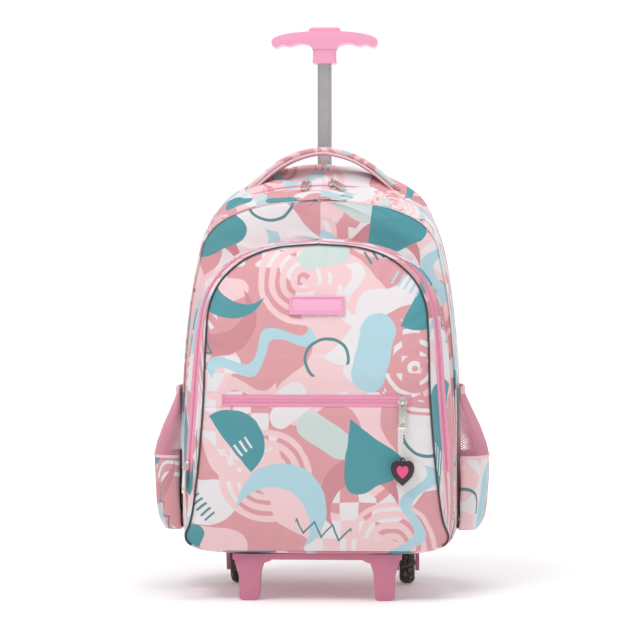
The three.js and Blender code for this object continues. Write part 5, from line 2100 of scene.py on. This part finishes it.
@dataclass
class PaddedBack:
    """Padded back panel: base, four pads and the tape down the air channel between them."""

    kit: Kit
    form: BagForm
    inset: float = 0.007
    base_depth: float = 0.0135
    cloth: float = 0.0012
    channel_half: float = 0.019
    pad_split: Pair = (0.254, 0.262)
    tape_width: float = 0.026

    def __post_init__(self) -> None:
        """Works out the panel's outline inside the bag's."""
        form = self.form
        first = MAIN_SECTIONS[0]
        self.half = first.width * form.half_width - self.inset
        self.low = form.bottom + 0.002
        self.high = form.bottom + first.top * form.height - self.inset
        self.outline = Outline(BODY_OUTLINE, self.half, self.high - self.low)

    def edge(self, t: float, shrink: float) -> Vector:
        """Point of the panel's outline, drawn in by a distance.

        Args:
            t: Outline parameter.
            shrink: The distance.

        Returns:
            The point, at depth 0.
        """
        corner = self.outline.at(t)
        z = lerp(self.low + shrink, self.high - shrink, corner.height)
        return Vector((corner.width * (self.half - shrink), 0, z))

    def build(self) -> None:
        """Builds the base, the pads and the tape between them."""
        starts = next(t for t in spread(0, 1, 400) if self.edge(t, 0).z > self.low + 0.003)

        def place(a: float, row: tuple[int, float]) -> Vector:
            """Corner of the base: its first and last rows turn back to the bag.

            Args:
                a: Share of the width.
                row: Whether the row turns back, and outline parameter.

            Returns:
                The corner.
            """
            part, t = row
            point = self.edge(t, 0.001)
            crown = 0.0 if part else self.base_depth * (1 - abs(a) ** 12) ** 0.5
            return Vector((a * point.x, self.form.back + 0.0004 + crown, point.z))

        rows = [(1, starts), *((0, t) for t in spread(starts + 0.004, 0.985, 110)), (1, 0.995), (1, 1.0)]
        across = [math.copysign(1 - (1 - abs(a)) ** 1.6, a) for a in spread(-1, 1, 70)]
        shape = self.kit.sheet(across, rows, place, lambda a, r: (a * self.half, self.edge(r[1], 0).z), 2e-5)
        self.kit.cloth("back_panel_base", shape, Vector((0, 0, 0.25)), self.cloth, "pad_cloth",
                       ["back_panel"])
        for side in Side:
            self.pad(side, f"upper_{side.word}", self.pad_split[1], self.high - 0.030)
            self.pad(side, f"lower_{side.word}", self.low + 0.022, self.pad_split[0])
        self.channel()

    def pad(self, side: Side, word: str, low: float, high: float) -> None:
        """Builds one sewn pad and swells it.

        Args:
            side: The side that it lies on.
            word: The rest of its name.
            low: Height of its lower end.
            high: Height of its upper end.
        """
        inner = self.channel_half
        outline = []
        for t in spread(0.0, 1.0, 40):
            z = lerp(low, high, t)
            near = min(spread(0.05, 1, 300), key=lambda k: abs(self.edge(k, 0).z - z))
            ends = min(1.0, (min(t, 1 - t) / 0.10 + 0.02)) ** 0.4
            outline.append((inner + (self.edge(near, 0.012).x - inner) * ends, z))
        back = [(inner, z) for _, z in reversed(outline[1:-1])]
        loop = [(side.value * x, z) for x, z in [*outline, *back]]
        shape = Kit.plate(loop, self.form.back + 0.0185, self.form.back + 0.012, 0.0028, 2)
        pad = self.kit.keep(f"back_pad_{word}", shape, "pad_cloth")
        Kit.puffed(pad, 0.0046, 4.0, 0.0045)
        Kit.printed_flat(pad, lambda p: (p.x, p.z))

    def channel(self) -> None:
        """Builds the tape down the air channel."""
        heights = spread(self.low + 0.02, self.high - 0.012, 40)
        path = [Vector((0, self.form.back + 0.0146, z)) for z in heights]
        self.kit.strip("back_channel_tape", path, RIGHT, Kit.flat_section(self.tape_width, 0.0012, 0.6),
                       "webbing")


@dataclass
class ShoulderStrap:
    """Padded strap with a sewn webbing, its adjuster and the lower webbing."""

    kit: Kit
    form: BagForm
    side: Side
    width: float = 0.056
    stand_off: float = 0.026
    cord_radius: float = 0.0017
    tape_width: float = 0.024
    webbing_width: float = 0.025
    webbing_thickness: float = 0.002
    route: tuple = ((0.297, 0.2, 0.93, 0.8), (0.323, 0.577, 0.87, 0.95), (0.361, 0.923, 0.76, 1.0),
                    (0.406, 1.0, 0.62, 0.98), (0.458, 0.769, 0.48, 0.9), (0.51, 0.423, 0.385, 0.72))
    lower: tuple = ((0.539, 0.315, 0.325), (0.594, 0.231, 0.26), (0.671, 0.135, 0.15),
                    (0.723, 0.0615, 0.075))

    def spot(self, across: float, off: float, height: float) -> Vector:
        """Point of a route from its shares.

        Args:
            across: Share of the bag's half width.
            off: Share of the strap's furthest distance from the back.
            height: Share of the bag's height.

        Returns:
            The point.
        """
        form = self.form
        return Vector((self.side.value * across * form.half_width, form.back + 0.0223 + off * self.stand_off,
                       form.bottom + height * form.height))

    def build(self) -> None:
        """Builds the pad, its trim, the adjuster and the webbing."""
        word = self.side.word
        path = Kit.curve([self.spot(a, o, h) for a, o, h, _ in self.route], 9)
        widths = Kit.curve([Vector((w, 0, 0)) for *_, w in self.route], 9)
        half = self.width / 2
        section = Kit.pillow_section(half - 0.0012, 0.0033, (0.35, 0.6), 28)
        pad = self.kit.strip(f"shoulder_strap_{word}_pad", path, RIGHT, section, "pad_cloth",
                             nodes=[f"shoulder_strap_{word}"], widths=[w.x for w in widths])
        Kit.puffed(pad, 0.0042, 3.0, 0.0014)
        Kit.printed_flat(pad, lambda p: (p.x, p.z))
        for name, sign in (("inner", -1), ("outer", 1)):
            edge = [p + RIGHT * (sign * (half - 0.001) * w.x) for p, w in zip(path, widths)]
            self.kit.strip(f"shoulder_strap_{word}_cord_{name}", edge, BACKWARD,
                           Kit.round_section(self.cord_radius), "binding", slot="pad_cloth")
        over = [p + Vector((0, 0.0047, 0)) for p in path[6:]]
        self.kit.strip(f"shoulder_strap_{word}_tape", over, RIGHT,
                       Kit.flat_section(self.tape_width, 0.0014, 0.6), "webbing")
        self.kit.refined(f"strap_adjuster_{word}", "adjuster_plastic", 0.0009)
        low = Kit.curve([self.spot(*row) for row in self.lower], 10)
        section = Kit.flat_section(self.webbing_width, self.webbing_thickness, 0.5)
        piece = self.kit.strip(f"strap_webbing_{word}_woven", low, RIGHT, section, "webbing",
                               nodes=[f"strap_webbing_{word}"])
        Route(low).length


@dataclass
class Trolley:
    """Sliding handle: grooved pole, outer tube, moulded grip and its button."""

    kit: Kit
    top: float = 0.6345
    bar: float = 0.010
    half: float = 0.0615
    depth: float = 0.022
    groove: float = 0.0007
    collar_half: Pair = (0.01375, 0.00975)
    collar_corner: float = 0.0028
    grip_rows: tuple = ((0.0, 0.0), (0.2, 0.012), (0.4, 0.075), (0.6, 0.19), (0.78, 0.39), (0.9, 0.63),
                        (0.965, 0.83), (0.992, 1.05), (1.0, 1.3), (0.985, 1.6), (0.945, 1.8),
                        (0.9, 1.84), (0.855, 1.7), (0.8, 1.58), (0.74, 1.6), (0.68, 1.7), (0.62, 1.66),
                        (0.56, 1.52), (0.48, 1.42), (0.4, 1.42), (0.33, 1.5), (0.27, 1.66),
                        (0.242, 1.9), (0.235, 2.1))

    def __post_init__(self) -> None:
        """Reads the pole's place from the frame."""
        self.pole_low, self.pole_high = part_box("pole")
        self.middle = (self.pole_low.y + self.pole_high.y) / 2

    def build(self) -> None:
        """Builds the pole, the tube, the grip and the button."""
        self.pole()
        self.grip()
        self.kit.refined("trolley_tube", "pole_metal", 0.0008)
        self.kit.refined("trolley_button", "grip_plastic", 0.0022, Body.BUTTON, 3)

    def pole(self) -> None:
        """Builds the drawn pole with two grooves on its broad faces."""
        w, d = (self.pole_high.x - self.pole_low.x) / 2, (self.pole_high.y - self.pole_low.y) / 2
        groove, lip = self.groove, 0.62 * w
        quarter = [(w, -0.4 * d), (w - 0.0004, -0.8 * d), (w - 0.0012, -d + 0.0002), (w - 0.0018, -d),
                   (lip + 0.0008, -d), (lip, -d + groove), (0.3 * w, -d + groove), (0, -d + groove)]
        right = [*[(x, -y) for x, y in reversed(quarter[:-1])], *quarter]
        ring = [*right, *[(-x, -y) for x, y in right]]
        clean = [p for i, p in enumerate(ring) if math.dist(p, ring[i - 1]) > 1e-6]
        path = [Vector((0, self.middle, z)) for z in spread(self.pole_low.z, self.pole_high.z, 8)]
        piece = self.kit.strip("pole_drawn", path, RIGHT, clean, "pole_metal", Body.HANDLE, nodes=["pole"])
        piece.data.set_sharp_from_angle(angle=math.radians(35))

    def grip(self) -> None:
        """Builds the bar with its finger grooves, and the collar under it."""
        rows = [Vector((a * self.half, 0, self.top - drop * self.bar)) for a, drop in self.grip_rows]
        right = Kit.curve(rows, 4)
        outline = [(p.x, p.z) for p in right] + [(-p.x, p.z) for p in reversed(right[1:])]
        shape = Kit.plate(outline, self.middle + self.depth / 2, self.middle - self.depth / 2, 0.0062, 5)
        bar = self.kit.keep("trolley_grip_bar", shape, "grip_plastic", Body.HANDLE, nodes=["trolley_grip"])
        bar.data.set_sharp_from_angle(angle=math.radians(60))
        w, d = self.collar_half
        corner = self.collar_corner
        section = []
        for cx, cy, start in ((1, -1, -90), (1, 1, 0), (-1, 1, 90), (-1, -1, 180)):
            for turn in (0, 30, 60, 90):
                angle = math.radians(start + turn)
                section.append((cx * (w - corner) + corner * math.cos(angle),
                                cy * (d - corner) + corner * math.sin(angle)))
        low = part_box("trolley_grip")[0].z
        heights = [low, low + 0.0012, low + 0.0042, *spread(low + 0.006, self.top - 0.0165, 3)]
        path = [Vector((0, self.middle, z)) for z in heights]
        piece = self.kit.strip("trolley_grip_collar", path, RIGHT, section, "grip_plastic", Body.HANDLE,
                               widths=[0.955, 1.0, 1.0, *[0.975] * 4])
        piece.data.set_sharp_from_angle(angle=math.radians(40))


@dataclass
class Chassis:
    """Moulded tray with its two front legs and the wheels' brackets."""

    kit: Kit
    rounding: float = 0.0016

    def build(self) -> None:
        """Builds the rounded chassis."""
        self.kit.refined("chassis", "chassis_plastic", self.rounding, segments=3, sharp=40)


@dataclass
class Wheel:
    """Rear wheel: tyre with its tread, hub with spokes, and axle."""

    kit: Kit
    side: Side
    bore: float = 0.0153
    tread_groove: float = 0.0007
    steps: int = 96

    def __post_init__(self) -> None:
        """Reads the wheel's place from the frame."""
        self.body = Body[f"WHEEL_{self.side.name}"]
        low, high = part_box(f"tyre_{self.side.word}")
        self.centre = (low + high) / 2
        self.radius = (high.z - low.z) / 2
        self.half = (high.x - low.x) / 2

    def build(self) -> None:
        """Builds the tyre, the hub and the axle."""
        bore, r, h = self.bore, self.radius, self.half
        profile = [(bore, -h + 0.001), (bore + 0.003, -h + 0.0002), (r - 0.006, -h),
                   (r - 0.0035, -h + 0.0006), (r - 0.0015, -h + 0.0024), (r - 0.0003, -h + 0.005),
                   (r, -h + 0.0068), (r, -0.0007), (r - 0.0006, -0.0003), (r - 0.0006, 0.0003),
                   (r, 0.0007)]
        profile += [(radius, -x) for radius, x in reversed(profile[:7])]

        def place(i: int, j: int) -> Vector:
            """Corner of the tyre; shallow cross grooves mark its shoulders.

            Args:
                i: Number in the profile.
                j: Step of the turn.

            Returns:
                The corner.
            """
            radius, x = profile[i % len(profile)]
            turn = 2 * math.pi * j / self.steps
            shoulder = smooth(0.003, 0.005, abs(x)) * smooth(r - 0.004, r - 0.001, radius)
            radius -= self.tread_groove * shoulder * (j % 4 == 0)
            return self.centre + Vector((x, radius * math.cos(turn), radius * math.sin(turn)))

        shape = self.kit.sheet(range(len(profile) + 1), range(self.steps + 1), place)
        bmesh.ops.recalc_face_normals(shape, faces=shape.faces)
        self.kit.keep(f"tyre_{self.side.word}_tread", shape, "tyre_rubber", self.body,
                      nodes=[f"tyre_{self.side.word}"])
        self.kit.refined(f"hub_{self.side.word}", "hub_plastic", 0.0006, self.body)
        self.kit.refined(f"axle_{self.side.word}", "nickel", 0.0005)


@dataclass
class Hardware:
    """Zip sliders, pulls, chain, charm and the bare label."""

    kit: Kit
    bead: float = 0.0013
    bead_pitch: float = 0.0033
    beads: int = 9
    wire: float = 0.00045
    heart_size: Pair = (0.025, 0.027)
    inset_size: Pair = (0.0125, 0.0135)

    def build(self) -> None:
        """Builds all small hard pieces."""
        for node, body in (("main_slider_left", Body.BAG), ("main_slider_right", Body.BAG),
                           ("front_slider", Body.BAG), ("pocket_slider", Body.BAG),
                           ("pocket_pull", Body.BAG), ("main_pull_left", Body.PULL_LEFT),
                           ("main_pull_right", Body.PULL_RIGHT), ("front_pull", Body.PULL_SIDE)):
            self.kit.refined(node, "nickel", 0.00028, body)
        self.label()
        self.chain()
        self.charm()

    def label(self) -> None:
        """Builds the label with a raised rim and two rows of stitches."""
        self.kit.refined("label", "label_plastic", 0.0005, segments=2, sharp=20)
        low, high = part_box("label")
        tilt = math.atan2(high.y - low.y - 0.002, high.z - low.z)
        middle = (low + high) / 2
        out = Vector((0, -math.cos(tilt), math.sin(tilt)))
        rise = Vector((0, math.sin(tilt), math.cos(tilt)))
        for number, inset in enumerate((0.0018, 0.0031)):
            half, tall = (high.x - low.x) / 2 - inset, 0.0105 - inset
            corners = [(-half, -tall), (half, -tall), (half, tall), (-half, tall), (-half, -tall)]
            path = [middle + RIGHT * x + rise * z + out * 0.00115 for x, z in corners]
            self.kit.stitches(f"label_stitches_{number}", path, out, "label_stitch", "label_plastic", 0.0026)

    def chain(self) -> None:
        """Builds the ball chain: round beads with a link between each two."""
        low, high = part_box("charm_chain")
        x = (low.x + high.x) / 2
        y = low.y + self.bead
        shape = bmesh.new()
        for i in range(self.beads):
            place = Matrix.Translation((x, y, low.z + self.bead_pitch * (i + 0.5)))
            bmesh.ops.create_uvsphere(shape, u_segments=14, v_segments=9, radius=self.bead, matrix=place)
        self.kit.keep("charm_chain_beads", shape, "nickel", nodes=["charm_chain"])
        stem = low.z + self.bead_pitch * self.beads
        path = [Vector((x, y, low.z)), Vector((x, y, stem)), Vector((x, y, stem + 0.0038)),
                Vector((x, y + 0.0012, high.z - 0.0006)), Vector((x, high.y, high.z - 0.0006))]
        self.kit.strip("charm_chain_wire", Kit.curve(path, 5), RIGHT, Kit.round_section(self.wire), "nickel")

    @staticmethod
    def heart(size: Pair, at: Vector) -> list[Pair]:
        """Outline of a heart whose dip is at a point.

        Args:
            size: Its width and its height.
            at: The point.

        Returns:
            Its corners as places across and up.
        """
        knots = (((0, -1), (-0.4, -0.82), (-1, -0.62), (-1, -0.3)),
                 ((-1, -0.3), (-1, 0.08), (-0.18, 0.06), (0, -0.14)),
                 ((0, -0.14), (0.18, 0.06), (1, 0.08), (1, -0.3)),
                 ((1, -0.3), (1, -0.62), (0.4, -0.82), (0, -1)))
        points = []
        for knot in knots:
            for t in spread(0, 1, 14)[:-1]:
                s = 1 - t
                shares = (s ** 3, 3 * s * s * t, 3 * s * t * t, t ** 3)
                x, z = (sum(share * spot[k] for share, spot in zip(shares, knot)) for k in (0, 1))
                points.append((at.x + x * (size[0] / 2), at.z + z * size[1]))
        return points

    def charm(self) -> None:
        """Builds the dark heart, its loop and the small heart on it."""
        low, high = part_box("charm")
        top = Vector(((low.x + high.x) / 2, 0, low.z + self.heart_size[1]))
        body = Kit.plate(self.heart(self.heart_size, top), high.y, low.y, 0.0012, 3)
        piece = self.kit.keep("charm_heart", body, "charm_dark", nodes=["charm"])
        piece.data.set_sharp_from_angle(angle=math.radians(50))
        middle = Vector((top.x, (low.y + high.y) / 2, top.z + 0.0006))
        loop = [middle + Vector((0.0021 * math.cos(t), 0, 0.0023 * math.sin(t)))
                for t in spread(0, 2 * math.pi, 20)]
        self.kit.strip("charm_eye", [*loop[:-1], loop[0]], BACKWARD, Kit.round_section(0.0007), "charm_dark")
        small_low, small_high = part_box("charm_inset")
        spot = Vector(((small_low.x + small_high.x) / 2, 0, small_low.z + self.inset_size[1]))
        inset = Kit.plate(self.heart(self.inset_size, spot), low.y + 0.0002, small_low.y, 0.0004, 2)
        self.kit.keep("charm_small_heart", inset, "charm_pink", nodes=["charm_inset"])


@dataclass
class Studio:
    """Pale floor, soft lights and the camera of the photograph."""

    camera_distance: float = 2.5
    camera_azimuth: float = 2.5
    camera_height: float = 0.318
    focal: float = 2243.0
    frame_size: float = 640.0
    sensor: float = 36.0
    origin_column: float = 320.7
    horizon_row: float = 304.4
    lamps: tuple = (("key", (-1.2, -1.5, 2.9), 1.3, 36.0), ("fill", (1.9, -2.0, 1.6), 2.2, 6.0),
                    ("top", (0.2, -0.4, 2.7), 1.4, 24.0), ("rear", (1.4, 2.4, 1.9), 2.4, 15.0))
    sky: float = 0.36

    def build(self) -> None:
        """Builds the camera, the floor and the lights."""
        self.camera()
        self.floor()
        self.lights()
        bpy.context.scene.view_settings.view_transform = "Standard"

    def camera(self) -> None:
        """Places the camera so that the bag's own origin falls on its place in the photograph."""
        data = bpy.data.cameras.new("photo_camera")
        data.sensor_width = self.sensor
        data.lens = self.focal / self.frame_size * self.sensor
        data.clip_end = 20.0
        camera = bpy.data.objects.new("photo_camera", data)
        turn = math.radians(self.camera_azimuth)
        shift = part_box("main_compartment")[1].y - 0.100
        camera.location = Vector((math.sin(turn) * self.camera_distance,
                                  shift - math.cos(turn) * self.camera_distance, self.camera_height))
        pitch = math.atan((self.frame_size / 2 - self.horizon_row) / self.focal)
        yaw = math.atan((self.origin_column - self.frame_size / 2) / self.focal)
        camera.rotation_euler = (math.pi / 2 - pitch, 0.0, turn + yaw)
        bpy.context.scene.collection.objects.link(camera)
        bpy.context.scene.camera = camera

    def floor(self) -> None:
        """Builds a floor that curves up into a backdrop far behind the bag, glowing less near the bag as
        painted shadow.
        """
        shape = bmesh.new()
        bmesh.ops.create_grid(shape, x_segments=2, y_segments=60, size=1.0)
        for corner in shape.verts:
            run = (corner.co.y + 1) * 4.5 - 4.0
            bend = clamp((run - 2.0) / 2.0)
            rise = 2.0 * (1 - math.cos(bend * math.pi / 2)) + max(0.0, run - 4.0)
            flat = min(run, 2.0) + 2.0 * math.sin(bend * math.pi / 2)
            corner.co = Vector((corner.co.x * 6.0, flat, rise))
        for face in shape.faces:
            face.smooth = True
        mesh = bpy.data.meshes.new("studio_floor")
        shape.to_mesh(mesh)
        shape.free()
        piece = bpy.data.objects.new("studio_floor", mesh)
        bpy.context.scene.collection.objects.link(piece)
        tree = Tree("studio_floor")
        tone = tree.grain(tree.place(), 2.0)
        x, y, _ = tree.parts(tree.place())
        # The floor glows, dimmer near the bag: a painted shadow round its foot; the full glow farther off
        # keeps the backdrop white.
        far = (0.5 - (x * x + y * y).math("SQRT")).inside(0.3)
        mesh.materials.append(tree.surface(
            Base_Color=tree.mix(tone * 0.02, (0.9, 0.9, 0.9, 1), (0.86, 0.86, 0.86, 1)), Roughness=0.9,
            Emission_Color=tree.mix(far, (0.35, 0.35, 0.35, 1), (1, 1, 1, 1)), Emission_Strength=0.42))

    def lights(self) -> None:
        """Builds the soft lights and an even sky, which the camera sees at full strength."""
        for name, place, size, power in self.lamps:
            data = bpy.data.lights.new(name, "AREA")
            data.shape = "DISK"
            data.size = size
            data.energy = power
            light = bpy.data.objects.new(name, data)
            light.location = place
            aim = Vector((0, 0, 0.3)) - Vector(place)
            light.rotation_mode = "QUATERNION"
            light.rotation_quaternion = aim.to_track_quat("-Z", "Y")
            bpy.context.scene.collection.objects.link(light)
        world = bpy.data.worlds.new("studio")
        world.use_nodes = True
        links, nodes = world.node_tree.links, world.node_tree.nodes
        sky = nodes["Background"]
        sky.inputs["Color"].default_value = (1.0, 1.0, 1.0, 1.0)
        seen = nodes.new("ShaderNodeLightPath")
        strength = nodes.new("ShaderNodeMath")
        strength.operation = "MULTIPLY_ADD"
        strength.inputs[1].default_value = 1 - self.sky
        strength.inputs[2].default_value = self.sky
        links.new(seen.outputs["Is Camera Ray"], strength.inputs[0])
        links.new(strength.outputs[0], sky.inputs["Strength"])
        bpy.context.scene.world = world


def dress_nodes(finishes: Finishes) -> None:
    """Gives every node of the frame its finish, whether or not a new piece replaces it.

    Args:
        finishes: The bag's finishes.
    """
    for part in frame["record"]["subparts"]:
        node = frame["nodes"][part["node"]]
        node.data.materials.clear()
        node.data.materials.append(finishes[part["material_slot"]])


def main() -> None:
    """Builds the whole bag."""
    logging.basicConfig(level=logging.INFO, format="%(message)s")
    finishes = Finishes()
    dress_nodes(finishes)
    kit = Kit(finishes)
    form = BagForm()
    rear = MainCompartment(kit, form)
    front = FrontCompartment(kit, form)
    Studio().build()
    pairs = [make(kit, form, side) for make in (SidePocket, ShoulderStrap) for side in Side]
    wheels = [Wheel(kit, side) for side in Side]
    for assembly in (rear, front, Zips(kit, rear, front), *pairs, GrabHandle(kit, form),
                     PaddedBack(kit, form), Trolley(kit), Chassis(kit), *wheels, Hardware(kit)):
        assembly.build()
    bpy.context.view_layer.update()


if __name__ == "__main__":
    main()
